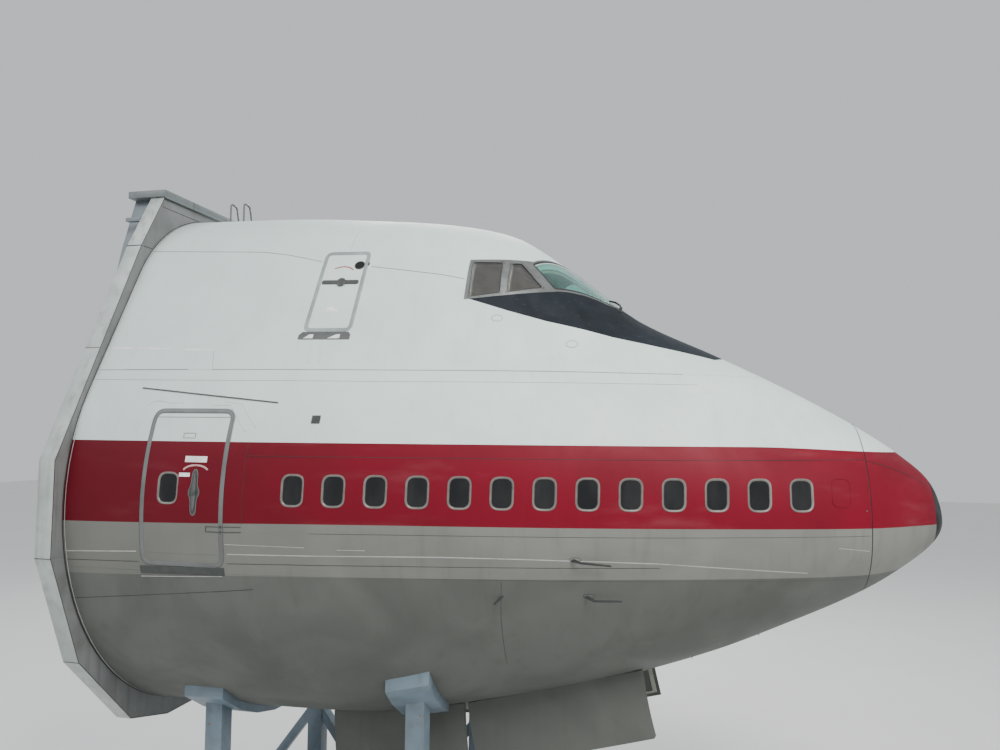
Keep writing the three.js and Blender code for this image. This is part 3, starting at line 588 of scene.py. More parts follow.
def hull_form(name, front, rear, rows, outer, inner=None):
    """The hull between two stations at a depth in its skin, or the wall between two depths."""
    stations = np.linspace(math.sqrt(front), math.sqrt(rear), rows) ** 2
    depths = [outer] if inner is None else [outer, inner]
    points = [tuple(at(s, y, z)) for s in stations for depth in depths for y, z in ring(s, depth)]
    step = len(points) // rows
    width, last = step // len(depths), (rows - 1) * step
    sides = [(k, (k + 1) % width) for k in range(width)]
    faces = []
    for a in range(0, last, step):
        for k, n in sides:
            faces.append((a + k, a + step + k, a + step + n, a + n))
            if inner is not None:
                faces.append(tuple(a + width + i for i in (k, n, step + n, step + k)))
    if inner is None:
        faces += [tuple(range(width)), tuple(reversed(range(last, last + width)))]
    else:
        for k, n in sides:
            faces += [(width + k, k, n, width + n), tuple(last + i for i in (width + k, width + n, n, k))]
    return as_object(name, (points, faces), repair=False)


def values(items, key, width=3, kind=float):
    """One property of every item, as rows of numbers."""
    result = np.zeros(len(items) * width, kind)
    items.foreach_get(key, result)
    return result.reshape(-1, width) if width > 1 else result


def shade_like_skin(made):
    """Gives faces that follow the skin its own smooth normals, and leaves the rest flat."""
    mesh = made.data
    mesh.shade_smooth()
    flat = values(mesh.polygons, "normal")
    smooth = skin_normals(values(mesh.vertices, "co"))
    match = np.einsum("ij,ij->i", skin_normals(values(mesh.polygons, "center")), flat)
    owner = np.repeat(np.arange(len(flat)), values(mesh.polygons, "loop_total", 1, int))
    corners = values(mesh.loops, "vertex_index", 1, int)
    follows = np.abs(match[owner]) > 0.97
    normals = np.where(follows[:, None], smooth[corners] * np.sign(match[owner])[:, None], flat[owner])
    mesh.normals_split_custom_set(normals.tolist())
    return made


def dress(made, coat, body="airframe", stands_for=(), smooth=None):
    """Finishes a piece: its material, shading, body and the nodes it stands for."""
    made.data.materials.clear()
    made.data.materials.append(finish(coat))
    if smooth is not None:
        made.data.shade_smooth()
        made.data.set_sharp_from_angle(angle=math.radians(smooth))
    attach(made, body)
    if stands_for:
        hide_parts(*stands_for)
    return made


def eased(made, width, smooth):
    """Bevels the edges that are sharper than an angle in degrees."""
    modifier = made.modifiers.new("bevel", "BEVEL")
    modifier.width, modifier.segments, modifier.limit_method = width, 2, "ANGLE"
    modifier.angle_limit = math.radians(smooth)
    return settle(made)


def piece(name, shape, coat, body="airframe", stands_for=(), smooth=35, bevel=0.0):
    """A finished piece from a shape or a list of shapes, with eased edges where a bevel is given."""
    made = as_object(name, merge(*shape) if isinstance(shape, list) else shape)
    if bevel:
        eased(made, bevel, smooth)
    return dress(made, coat, body, stands_for, smooth)


def refined(name, node, coat, body="airframe", smooth=35, bevel=0.004):
    """A smooth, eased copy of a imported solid, which it then stands for."""
    mesh = frame["nodes"][node].data.copy()
    mesh.name = name
    made = linked(name, mesh)
    work = bmesh.new()
    work.from_mesh(mesh)
    bmesh.ops.remove_doubles(work, verts=work.verts, dist=2e-5)
    bmesh.ops.dissolve_limit(work, angle_limit=math.radians(0.8), verts=work.verts, edges=work.edges)
    work.to_mesh(mesh)
    work.free()
    for key in ("custom_normal", "sharp_face", "sharp_edge"):
        if key in mesh.attributes:
            mesh.attributes.remove(mesh.attributes[key])
    return dress(eased(made, bevel, smooth), coat, body, (node,), smooth)


# Geometry Nodes trees for what repeats

def new_tree(name, sockets):
    """An empty tree with a geometry in and out and the named inputs, and its in and out nodes."""
    tree = bpy.data.node_groups.new(name, "GeometryNodeTree")
    tree.interface.new_socket("Geometry", in_out="INPUT", socket_type="NodeSocketGeometry")
    for label, kind in sockets:
        tree.interface.new_socket(label, in_out="INPUT", socket_type="NodeSocket" + kind)
    tree.interface.new_socket("Geometry", in_out="OUTPUT", socket_type="NodeSocketGeometry")
    return tree, tree.nodes.new("NodeGroupInput").outputs, tree.nodes.new("NodeGroupOutput")


def add_node(tree, kind, inputs=None, **settings):
    """A node with its settings and inputs. An input is a value, or the socket that feeds it."""
    node = tree.nodes.new(kind)
    for key, value in settings.items():
        setattr(node, key, value)
    for key, value in (inputs or {}).items():
        socket = node.inputs[key]
        if isinstance(value, bpy.types.NodeSocket):
            tree.links.new(value, socket)
        else:
            socket.default_value = value
    return node


def first(tree, kind, inputs=None, **settings):
    """The first output of a new node."""
    return add_node(tree, kind, inputs, **settings).outputs[0]


def calc(tree, operation, a, b):
    """Result of a sum on two values or sockets."""
    return first(tree, "ShaderNodeMath", {0: a, 1: b}, operation=operation)


def times(tree, a, b):
    """Product of two values or sockets."""
    return calc(tree, "MULTIPLY", a, b)


def finish_tree(tree, out, geometry, coat):
    """Ends a tree in real geometry with its material."""
    real = first(tree, "GeometryNodeRealizeInstances", {"Geometry": geometry})
    coated = first(tree, "GeometryNodeSetMaterial", {"Geometry": real, "Material": coat})
    tree.links.new(coated, out.inputs["Geometry"])
    return tree


def fastener_tree(name):
    """Sets one small part on every point, its Z along the point's facing, spun at random."""
    tree, given, out = new_tree(name, (
        ("Part", "Object"), ("Spin", "Float"), ("Seed", "Int"), ("Material", "Material")))
    part = add_node(tree, "GeometryNodeObjectInfo", {"Object": given["Part"]}).outputs["Geometry"]
    facing = first(tree, "GeometryNodeInputNamedAttribute", {"Name": "facing"}, data_type="FLOAT_VECTOR")
    aim = first(tree, "FunctionNodeAlignRotationToVector", {"Vector": facing}, axis="Z")
    chance = add_node(tree, "FunctionNodeRandomValue", {"Seed": given["Seed"]}, data_type="FLOAT").outputs[1]
    turn = first(tree, "FunctionNodeAxisAngleToRotation", {"Angle": times(tree, given["Spin"], chance)})
    both = first(tree, "FunctionNodeRotateRotation", {"Rotation": aim, "Rotate By": turn},
                 rotation_space="LOCAL")
    copies = first(tree, "GeometryNodeInstanceOnPoints",
                   {"Points": given["Geometry"], "Instance": part, "Rotation": both})
    return finish_tree(tree, out, copies, given["Material"])


def row_tree(name):
    """Sets parts in a row and lays them on the skin: their depth becomes distance out of it."""
    tree, given, out = new_tree(name, (
        ("Part", "Object"), ("Skin", "Object"), ("Count", "Int"), ("Start", "Vector"), ("Step", "Vector"),
        ("Side", "Float"), ("Material", "Material")))
    side = given["Side"]
    line = first(tree, "GeometryNodeMeshLine", {
        "Count": given["Count"], "Start Location": given["Start"], "Offset": given["Step"]})
    part, skin = (add_node(tree, "GeometryNodeObjectInfo", {"Object": given[key]}).outputs["Geometry"]
                  for key in ("Part", "Skin"))
    half_turn = times(tree, calc(tree, "SUBTRACT", 1.0, side), math.pi / 2)
    turn = first(tree, "FunctionNodeAxisAngleToRotation", {"Angle": half_turn})
    copies = first(tree, "GeometryNodeInstanceOnPoints", {"Points": line, "Instance": part, "Rotation": turn})
    real = first(tree, "GeometryNodeRealizeInstances", {"Geometry": copies})
    axes = add_node(tree, "ShaderNodeSeparateXYZ", {0: first(tree, "GeometryNodeInputPosition")}).outputs
    source = first(tree, "ShaderNodeCombineXYZ", {"X": axes["X"], "Y": times(tree, side, 8.0), "Z": axes["Z"]})
    inward = first(tree, "ShaderNodeCombineXYZ", {"Y": times(tree, side, -1.0)})
    facing = first(tree, "GeometryNodeInputNamedAttribute", {"Name": "facing"}, data_type="FLOAT_VECTOR")
    hit = add_node(tree, "GeometryNodeRaycast", {
        "Target Geometry": skin, "Attribute": facing, "Source Position": source, "Ray Direction": inward},
        data_type="FLOAT_VECTOR").outputs
    proud = first(tree, "ShaderNodeVectorMath", {0: hit["Attribute"], "Scale": times(tree, axes["Y"], side)},
                  operation="SCALE")
    goal = first(tree, "ShaderNodeVectorMath", {0: hit["Hit Position"], 1: proud})
    laid_down = first(tree, "GeometryNodeSetPosition", {"Geometry": real, "Position": goal})
    return finish_tree(tree, out, laid_down, given["Material"])


def grow(base, name, maker, given):
    """Runs a tree, built once, on an object and keeps what it makes as a plain mesh."""
    modifier = base.modifiers.new("grow", "NODES")
    modifier.node_group = bpy.data.node_groups.get(name) or maker(name)
    for item in modifier.node_group.interface.items_tree:
        if item.item_type == "SOCKET" and item.in_out == "INPUT" and item.name in given:
            modifier[item.identifier] = given[item.name]
    return settle(base)


def set_facing(made, facings):
    """Notes on every point of an object the direction it faces."""
    layer = made.data.attributes.new("facing", "FLOAT_VECTOR", "POINT")
    layer.data.foreach_set("vector", np.array(facings, float).ravel())


def fasteners(name, points, facings, part, coat, body="airframe", spin=0.0, seed=7, smooth=30):
    """Copies of one small part at many points, as one piece."""
    base = as_object(name, ([tuple(p) for p in points], []), repair=False)
    set_facing(base, facings)
    unit = as_object("unit", part)
    grow(base, "Fasteners at points", fastener_tree,
         {"Part": unit, "Spin": spin, "Seed": seed, "Material": finish(coat)})
    drop(unit)
    if "facing" in base.data.attributes:
        base.data.attributes.remove(base.data.attributes["facing"])
    return dress(base, coat, body, smooth=smooth)


ANY_TURN = 6.28
WASHER = 1.45
UP = (0, 0, 1)


def bolt(across_flats, height):
    """A hexagonal bolt head on its washer, standing on Z."""
    radius = across_flats / math.sqrt(3)
    parts = []
    for reach, sides, low, high in ((radius * WASHER, 12, -0.1, 0.2), (radius, 6, 0.2, 1.0)):
        outline = [(reach * math.cos(a), reach * math.sin(a)) for a in turns(sides)]
        parts.append(prism(outline, lambda u, v, level: (u, v, level), height * low, height * high))
    return merge(*parts)


def rivet(radius, height):
    """A low domed head, standing on Z."""
    return lathe([(radius, -height), (radius, 0), (radius * 0.7, height * 0.7), (0, height), (0, -height)],
                 (0, 0, 0), UP, 8)


# Materials: node trees that read the piece's own coordinates, with plain values on the shader

def plus(tree, a, b):
    """Sum of two values or sockets."""
    return calc(tree, "ADD", a, b)


def place_in(tree):
    """The piece's own coordinates, which are the aircraft's."""
    return add_node(tree, "ShaderNodeTexCoord").outputs["Object"]


def axes_in(tree):
    """The piece's own coordinates, one output for each axis."""
    return add_node(tree, "ShaderNodeSeparateXYZ", {0: place_in(tree)}).outputs


def noise(tree, scale, detail=3.0, stretch=(1.0, 1.0, 1.0), warp=0.0):
    """Even noise between 0 and 1, stretched along an axis by a factor under one."""
    spread = first(tree, "ShaderNodeMapping", {"Vector": place_in(tree), "Scale": stretch})
    return first(tree, "ShaderNodeTexNoise",
                 {"Vector": spread, "Scale": scale, "Detail": detail, "Distortion": warp})


def fade(tree, value, low, high, to_low=0.0, to_high=1.0):
    """A value carried smoothly from one span to another."""
    return first(tree, "ShaderNodeMapRange", {"Value": value, "From Min": low, "From Max": high,
                                              "To Min": to_low, "To Max": to_high},
                 interpolation_type="SMOOTHSTEP")


def blend(tree, factor, a, b):
    """A colour between two others."""
    a, b = (tone if isinstance(tone, bpy.types.NodeSocket) else (*tone, 1.0) for tone in (a, b))
    return add_node(tree, "ShaderNodeMix", {0: factor, 6: a, 7: b}, data_type="RGBA").outputs[2]


def film(tree, mask, share, under, tone):
    """A colour with a film of another tone over it where a mask is bright."""
    return blend(tree, times(tree, mask, share), under, tone)


def emboss(tree, height, distance, strength=1.0, after=None):
    """A bump that may be laid over another."""
    inputs = {"Height": height, "Distance": distance, "Strength": strength}
    if after is not None:
        inputs["Normal"] = after
    return first(tree, "ShaderNodeBump", inputs)


def darker(tone, factor):
    """A colour made darker or lighter."""
    return tuple(min(1.0, c * factor) for c in tone)


def bare_material(name, **constants):
    """A material with its shader and output. Constants are set straight on the shader."""
    made = bpy.data.materials.new(name)
    made.use_nodes = True
    tree = made.node_tree
    tree.nodes.clear()
    shader = add_node(tree, "ShaderNodeBsdfPrincipled",
                      {key.replace("_", " "): value for key, value in constants.items()})
    add_node(tree, "ShaderNodeOutputMaterial", {"Surface": shader.outputs[0]})
    return made, tree, shader


def feed(tree, shader, **sockets):
    """Links sockets to the shader's inputs."""
    for key, value in sockets.items():
        tree.links.new(value, shader.inputs[key.replace("_", " ")])


def kept(make):
    """Has a finish made once: asked for again, it gives the material that is there."""
    return lambda name, *looks, **more: bpy.data.materials.get(name) or make(name, *looks, **more)


@kept
def worn(name, tone, rough=0.45, dirt=0.3, scale=2.0, streak=0.0, grain=0.0, chips=None, metal=0.0,
         coat=0.0, soil=(0.090, 0.082, 0.068)):
    """A used finish: tone in patches, dirt, downward streaks, fine grain and chips of another tone."""
    made, tree, shader = bare_material(name, Metallic=metal, Coat_Weight=coat, Coat_Roughness=0.2)
    patches = fade(tree, noise(tree, scale, 5.0, warp=0.6), 0.35, 0.68)
    shade = blend(tree, patches, darker(tone, 1.12), darker(tone, 0.88))
    shade = film(tree, fade(tree, noise(tree, scale * 2.7, 6.0), 0.45, 0.78), dirt, shade, soil)
    if streak:
        runs = fade(tree, noise(tree, 9.0, 4.0, (1.0, 1.0, 0.05)), 0.48, 0.80)
        shade = film(tree, runs, streak, shade, soil)
    if chips:
        shade = blend(tree, fade(tree, noise(tree, scale * 9, 7.0), 0.665, 0.685), shade, chips)
    fine = noise(tree, scale * 60, 3.0)
    normal = emboss(tree, noise(tree, scale * 4, 3.0), 0.004, 0.25)
    if grain:
        normal = emboss(tree, fine, grain, 0.6, normal)
    feed(tree, shader, Base_Color=shade, Roughness=fade(tree, fine, 0.2, 0.8, rough - 0.07, rough + 0.10),
         Normal=normal)
    return made


@kept
def livery(name, paint, hull):
    """Paint of the whole fuselage: white, the band, weathered white and belly grey, by height. Weathered white
    and belly grey are darkened in part as painted shade, and white, band and weathered white darken aft as
    painted shade.
    """
    made, tree, shader = bare_material(name, Specular_IOR_Level=0.22)
    axes = axes_in(tree)
    x, z = axes["X"], axes["Z"]
    streaks = fade(tree, noise(tree, 7.0, 5.0, (1.0, 1.0, 0.045)), 0.50, 0.82)
    patches = noise(tree, 0.9, 6.0, warp=0.8)
    blotches = fade(tree, patches, 0.30, 0.70)
    chalk = fade(tree, noise(tree, 3.0, 7.0, (0.25, 0.25, 1.0)), 0.55, 0.80)
    # Painted shade: this mask darkens the paint towards the tail, for the light that falls from the nose side.
    aft_shade = fade(tree, x, NOSE_TIP - 12.0, NOSE_TIP - 3.5, 1.0, 0.0)

    def paint_coat(tone, light, deep, *films):
        shade = blend(tree, blotches, darker(tone, light), darker(tone, deep))
        for mask, share, over in films:
            shade = film(tree, mask, share, shade, over)
        return shade

    # White, band and lower white take dirt streaks, and painted shade towards the tail through the mask above.
    white = paint_coat(paint.white, 1.03, 0.94, (streaks, 0.16, (0.42, 0.41, 0.33)),
                       (aft_shade, 0.55, (0.40, 0.47, 0.47)))
    band = paint_coat(paint.band, 1.08, 0.90, (chalk, 0.10, (0.62, 0.30, 0.32)),
                      (streaks, 0.14, (0.20, 0.012, 0.024)), (aft_shade, 0.75, (0.070, 0.001, 0.005)))
    # Lower white and belly grey hold painted shade of the lower hull in their tones.
    lower = paint_coat(paint.lower, 1.05, 0.90, (streaks, 0.34, (0.13, 0.125, 0.10)),
                       (aft_shade, 0.60, (0.120, 0.122, 0.110)))
    shade = paint_coat(paint.belly, 1.08, 0.88, (streaks, 0.30, (0.075, 0.075, 0.062)))
    over_low = plus(tree, z, fade(tree, x, NOSE_TIP - 11.5, NOSE_TIP - 7.5, 0.05, 0.0))
    over_high = plus(tree, z, fade(tree, x, NOSE_TIP - 2.6, NOSE_TIP - 0.4, 0.0, 0.07))
    slant = plus(tree, times(tree, x, -0.0073), fade(tree, x, NOSE_TIP - 11.2, NOSE_TIP - 8.2, 0.05, 0.0))
    over_belly = plus(tree, z, plus(tree, slant, 0.0348))
    edge = 0.0015
    for value, line, above in ((over_belly, 2.520, lower), (over_low, hull.band_low, band),
                               (over_high, hull.band_high, white)):
        step = fade(tree, value, BELLY + line - edge, BELLY + line + edge)
        shade = blend(tree, step, shade, above)
    rough = plus(tree, fade(tree, patches, 0.3, 0.7, 0.46, 0.60),
                 fade(tree, z, BELLY + 2.4, BELLY + 3.3, 0.16, 0.0))
    waves = emboss(tree, noise(tree, 1.6, 2.0), 0.010, 0.30)
    feed(tree, shader, Base_Color=shade, Roughness=rough,
         Normal=emboss(tree, noise(tree, 420.0, 2.0), 0.0003, 0.30, waves))
    return made


@kept
def glare_paint(name, tone):
    """Matt black panel paint, scuffed and lighter towards the front."""
    made, tree, shader = bare_material(name, Specular_IOR_Level=0.20)
    forward = fade(tree, axes_in(tree)["X"], NOSE_TIP - 4.6, NOSE_TIP - 3.0, 0.25, 1.0)
    patches = fade(tree, noise(tree, 1.3, 6.0, warp=0.8), 0.35, 0.70)
    shade = blend(tree, patches, darker(tone, 1.5), darker(tone, 0.8))
    scuffs = fade(tree, noise(tree, 26.0, 8.0, (0.35, 1.0, 1.0)), 0.60, 0.72)
    shade = film(tree, times(tree, scuffs, forward), 0.42, shade, (0.20, 0.205, 0.21))
    shade = film(tree, forward, 0.85, shade, (0.024, 0.031, 0.038))
    feed(tree, shader, Base_Color=shade, Roughness=fade(tree, noise(tree, 5.0, 4.0), 0.3, 0.7, 0.62, 0.76),
         Normal=emboss(tree, noise(tree, 300.0, 2.0), 0.0004, 0.4))
    return made


@kept
def cap_coating(name, tone):
    """Rubbery dark coating with fine pits from rain."""
    made, tree, shader = bare_material(name, Specular_IOR_Level=0.25)
    patches = fade(tree, noise(tree, 5.0, 6.0), 0.35, 0.70)
    shade = blend(tree, patches, darker(tone, 1.3), darker(tone, 0.75))
    shade = film(tree, fade(tree, noise(tree, 95.0, 5.0), 0.66, 0.72), 0.5, shade, (0.16, 0.17, 0.17))
    feed(tree, shader, Base_Color=shade, Roughness=fade(tree, patches, 0.0, 1.0, 0.55, 0.70),
         Normal=emboss(tree, noise(tree, 160.0, 4.0), 0.0008, 0.5))
    return made


@kept
def dark_glass(name):
    """Cabin glass with nothing to see behind it: its deep dark tone is painted shade of the unlit cabin, under
    a faintly uneven gloss.
    """
    made, tree, shader = bare_material(name, Specular_IOR_Level=0.4)
    haze = fade(tree, noise(tree, 3.0, 4.0, (1.0, 1.0, 0.4)), 0.35, 0.75)
    feed(tree, shader, Base_Color=blend(tree, haze, (0.006, 0.007, 0.008), (0.020, 0.020, 0.020)),
         Roughness=fade(tree, haze, 0.0, 1.0, 0.05, 0.20),
         Normal=emboss(tree, noise(tree, 6.0, 2.0), 0.002, 0.2))
    return made


@kept
def clear_glass(name, tint):
    """Flight deck glass with a tint and a film of dust."""
    made, tree, shader = bare_material(name, IOR=1.30, Transmission_Weight=0.94)
    dust = fade(tree, noise(tree, 4.0, 6.0, (1.0, 1.0, 0.5)), 0.40, 0.80)
    feed(tree, shader, Base_Color=blend(tree, dust, tint, darker(tint, 0.84)),
         Roughness=fade(tree, dust, 0.0, 1.0, 0.01, 0.10))
    return made


@kept
def metal(name, tone, rough=0.30, grain=(1.0, 1.0, 1.0), stain=0.3, bite=0.0002):
    """Bare metal with brushed grain and stains."""
    made, tree, shader = bare_material(name, Metallic=0.92)
    patches = fade(tree, noise(tree, 4.0, 6.0, warp=0.5), 0.35, 0.75)
    brushed = noise(tree, 180.0, 4.0, grain)
    roughness = plus(tree, fade(tree, brushed, 0.3, 0.7, rough - 0.05, rough + 0.08),
                     fade(tree, patches, 0.0, 1.0, 0.0, 0.14))
    feed(tree, shader, Base_Color=film(tree, patches, stain, tone, darker(tone, 0.45)),
         Roughness=roughness, Normal=emboss(tree, brushed, bite, 0.4))
    return made


@kept
def woven(name, tone, thread=420.0):
    """Cloth: crossing threads, fuzz and a faded patch."""
    made, tree, shader = bare_material(name, Sheen_Weight=0.35, Sheen_Roughness=0.5)
    waves = [add_node(tree, "ShaderNodeTexWave", {
        "Vector": place_in(tree), "Scale": thread / 6.3, "Distortion": 1.5, "Detail": 2.0},
        bands_direction=axis).outputs["Fac"] for axis in ("Y", "Z")]
    weave = times(tree, *waves)
    faded = fade(tree, noise(tree, 5.0, 5.0), 0.35, 0.70)
    shade = blend(tree, faded, darker(tone, 1.25), darker(tone, 0.8))
    feed(tree, shader, Base_Color=film(tree, weave, 0.35, shade, darker(tone, 0.35)),
         Roughness=fade(tree, faded, 0.0, 1.0, 0.80, 0.95), Normal=emboss(tree, weave, 0.001, 0.5))
    return made


def finish(name):
    """A material by the short name of its finish."""
    scene = bpy.context.scene
    paint = scene.nose_paint
    return {
        "livery": livery("livery", paint, scene.nose_hull),
        "glare": glare_paint("glare_panel", paint.glare),
        "cap": cap_coating("cap_coating", paint.cap),
        "trim": worn("trim_grey", paint.trim, 0.40, 0.25, 3.0, 0.2),
        "pale_trim": worn("upper_trim_grey", (0.270, 0.315, 0.310), 0.40, 0.25, 3.0, 0.2),
        "seal": worn("black_seal", (0.020, 0.020, 0.021), 0.62, 0.2, 8.0, grain=0.0006),
        "frame": metal("frame_metal", (0.54, 0.54, 0.52), 0.34, (0.2, 1.0, 1.0), 0.35),
        "bezel": worn("window_bezel", (0.200, 0.183, 0.168), 0.38, 0.3, 5.0, 0.15, metal=0.35),
        "plate": worn("white_plate", (0.76, 0.77, 0.74), 0.45, 0.25, 6.0, 0.2),
        "mark": worn("red_mark", (0.360, 0.060, 0.040), 0.50, 0.35, 8.0),
        "sill": worn("sill_grey", (0.040, 0.046, 0.044), 0.55, 0.35, 5.0, 0.3, grain=0.0008),
        "slate": worn("sill_slate", (0.085, 0.090, 0.090), 0.55, 0.35, 6.0, 0.3, grain=0.0006),
        "umber": worn("handle_umber", (0.050, 0.054, 0.052), 0.42, 0.35, 8.0),
        "pink": worn("arc_mark", (0.520, 0.300, 0.300), 0.50, 0.35, 8.0),
        # gutter_grey draws the gutter's face as painted shade, and dark joints on the crown.
        "gutter": worn("gutter_grey", (0.075, 0.082, 0.080), 0.45, 0.35, 4.0),
        "lining": worn("cabin_lining", (0.420, 0.330, 0.235), 0.70, 0.2, 3.0, grain=0.0005),
        "primer": worn("bay_primer", paint.primer, 0.55, 0.35, 3.0, 0.2),
        "gear": worn("gear_paint_worn", paint.gear, 0.36, 0.40, 5.0, 0.25, coat=0.2),
        "cradle": worn("cradle_paint_worn", paint.cradle, 0.45, 0.30, 2.0, 0.2, chips=(0.21, 0.10, 0.05),
                       grain=0.0004),
        # Collar sheet and side cover are one metal: the sheet is darkened as painted shade, the cover lightened
        # as painted light.
        "sheet": worn("collar_sheet_worn", paint.sheet, 0.42, 0.35, 1.1, 0.45, metal=0.25),
        "cover": worn("collar_cover", (0.400, 0.440, 0.425), 0.45, 0.30, 1.5, 0.40),
        "coping": worn("coping_paint", (0.155, 0.175, 0.180), 0.45, 0.30, 1.5, 0.40),
        "lap": worn("lap_white", (0.400, 0.410, 0.385), 0.50, 0.30, 4.0),
        "closure": worn("closure_paint", (0.160, 0.190, 0.210), 0.50, 0.30, 1.3, 0.40),
        "window_frame": worn("deck_window_frame", (0.165, 0.175, 0.172), 0.40, 0.35, 5.0, 0.20, metal=0.40),
        "rail": worn("rail_grey", (0.120, 0.135, 0.135), 0.45, 0.30, 6.0, metal=0.30),
        "steel": metal("bare_steel_worn", (0.42, 0.42, 0.41), 0.36, stain=0.5),
        "chrome": metal("piston_chrome", (0.78, 0.79, 0.80), 0.12, (1.0, 1.0, 0.1), 0.15, 0.0),
        "alloy": metal("wheel_alloy_worn", (0.56, 0.57, 0.56), 0.40, stain=0.5),
        "rubber": worn("tyre_rubber_worn", (0.022, 0.022, 0.022), 0.72, 0.35, 4.0, soil=(0.10, 0.09, 0.075),
                       grain=0.0007),
        "hose": worn("hose_black", (0.014, 0.014, 0.015), 0.50, 0.2, 9.0, grain=0.0004),
        "plastic": worn("panel_plastic", (0.048, 0.049, 0.052), 0.50, 0.2, 6.0, grain=0.0006),
        "dial": worn("dial_black", (0.008, 0.008, 0.010), 0.20, 0.1, 20.0),
        "antenna": worn("antenna_face", (0.500, 0.470, 0.380), 0.50, 0.2, 5.0),
        "radome_wall": worn("radome_wall", (0.360, 0.330, 0.240), 0.60, 0.2, 4.0, grain=0.0006),
        "lamp": metal("lamp_reflector", (0.86, 0.86, 0.85), 0.08, stain=0.1, bite=0.0),
        "deck_glass": clear_glass("deck_glass", (0.50, 0.87, 0.80)),
        "side_glass": clear_glass("side_glass", (0.80, 0.79, 0.76)),
        # Cabin glass is opaque; its dark tone is painted shade of the cabin behind it.
        "cabin_glass": dark_glass("cabin_glass"),
        "cloth": woven("seat_cloth", (0.105, 0.120, 0.150)),
    }[name]


# Forms that more than one operator uses

JOINT = 0.0008
WINDOW_CORNER = 0.40
PANE_CORNER = 0.035
FRONT_CORNER = 0.018
DOOR_WINDOW = 9.710
BAY = {"front": 3.940, "rear": 8.520, "half": 0.900, "roof": 1.900}


def leaf(doors, kind, by=0.0):
    """Outline of a door's leaf, main or upper, grown by a distance."""
    front, rear, sill, head, corner = (getattr(doors, f"{kind}_{key}")
                                       for key in ("front", "rear", "sill", "head", "corner"))
    size = (rear - front + 2 * by, head - sill + 2 * by)
    return rounded(rectangle(((front + rear) / 2, (sill + head) / 2), size), corner + by)


def handle_outline(middle, half_height, half_width, swell, count=20):
    """Outline of a main door's handle: a long rounded plate that swells at its middle."""
    side = []
    for t in np.sin(np.linspace(-math.pi / 2, math.pi / 2, count)):
        width = half_width * max(0.0, 1 - abs(t) ** 7) ** 0.5 + swell * math.exp(-(t / 0.22) ** 2)
        side.append((width, half_height * t))
    side += [(-w, h) for w, h in reversed(side[1:-1])]
    return [(middle[0] + w, middle[1] + h) for w, h in side]


def window_outline(windows, middle, inset=0.0):
    """Outline of a cabin window's frame, taken in by a distance."""
    size = (windows.frame_width - 2 * inset, windows.frame_height - 2 * inset)
    return rounded(rectangle(middle, size), windows.frame_width * WINDOW_CORNER - inset)


def side_prism(outline, side, near=0.9, far=4.0):
    """A cutter through the skin of one side."""
    return prism(outline, across, side * near, side * far)


def windshield_prism(by, side, corner=FRONT_CORNER):
    """A cutter through the crown round one windshield, grown by a distance."""
    outline = grown([(s, side * y) for s, y in WINDSHIELD], by)
    return prism(rounded(outline, corner + by) if corner else outline, at, 5.70, 7.20)


def pane_prisms(by, side):
    """Cutters for the flight deck glass of one side, each grown by a distance."""
    cutters = {f"side_window_{name}": side_prism(rounded(grown(corners, by), PANE_CORNER + by), side, 0.6, 2.4)
               for name, corners in SIDE_PANES.items()}
    return {**cutters, "windshield": windshield_prism(by, side)}


class NOSE_OT_hull(bpy.types.Operator):
    """Build the belly, side and crown skins with every opening in them"""
    bl_idname = "nose.hull"
    bl_label = "Outer skins"

    def execute(self, context):
        scene = context.scene
        hull, doors, windows = scene.nose_hull, scene.nose_doors, scene.nose_windows
        side_holes, crown_holes = [], []
        for _, side in SIDES:
            for i in range(windows.count):
                middle = (windows.first + i * windows.pitch, windows.height)
                side_holes.append(side_prism(window_outline(windows, middle, 0.010), side))
            side_holes.append(side_prism(leaf(doors, "main", doors.gap), side))
            crown_holes += pane_prisms(0.004, side).values()
        crown_holes.append(side_prism(leaf(doors, "upper", doors.gap), -1))
        bay = box(at(BAY["rear"], -BAY["half"], -1.0), at(BAY["front"], BAY["half"], 1.6))
        skins = (
            ("belly_skin", -1.0, hull.lower_lap, [bay], "grey_paint",
             ("belly_nose", "gear_bay_section", "belly_aft")),
            ("main_skin", hull.lower_lap, hull.upper_lap, side_holes, "white_paint", ("main_deck_shell",)),
            ("crown_skin", hull.upper_lap, 9.0, crown_holes, "white_paint",
             ("upper_nose", "flight_deck_shell", "upper_deck_aft")),
        )
        for name, low, high, holes, slot, nodes in skins:
            made = hull_form(name, hull.seam, CUT, 150, 0.0, hull.skin)
            carve(made, box(at(CUT + 1, -5, low + JOINT), at(0, 5, high - JOINT)), "INTERSECT")
            dress(shade_like_skin(carve(made, merge(*holes))), "livery", "airframe", nodes)
        return {"FINISHED"}


def window_parts(windows):
    """Frame, seal and glass of a cabin window, to be laid on the skin."""
    rim, recess = windows.frame_rim, windows.recess
    back = -recess - 0.012

    def part(*levels, looped=True):
        return stacked(lambda inset: window_outline(windows, (0.0, windows.height), inset), levels,
                       lambda rows: [(u, out, v) for u, v, out in rows], looped)

    return {
        "frames": (part((0, -0.001), (0, 0.002), (0.003, 0.0045), (rim * 0.5, 0.0045), (rim * 0.75, 0.001),
                        (rim, -recess * 0.6), (rim, back), (0.012, back), (0.012, -0.001)), "bezel"),
        "seals": (part((rim + 0.0004, -recess), (rim + 0.0004, -recess + 0.003),
                       (rim + 0.004, -recess + 0.003), (rim + 0.006, -recess)), "seal"),
        "glass": (part((rim + 0.0004, back), (rim + 0.0004, -recess - 0.0005), (0.060, -recess - 0.0005),
                       (0.080, -recess - 0.0005), looped=False), "cabin_glass"),
    }


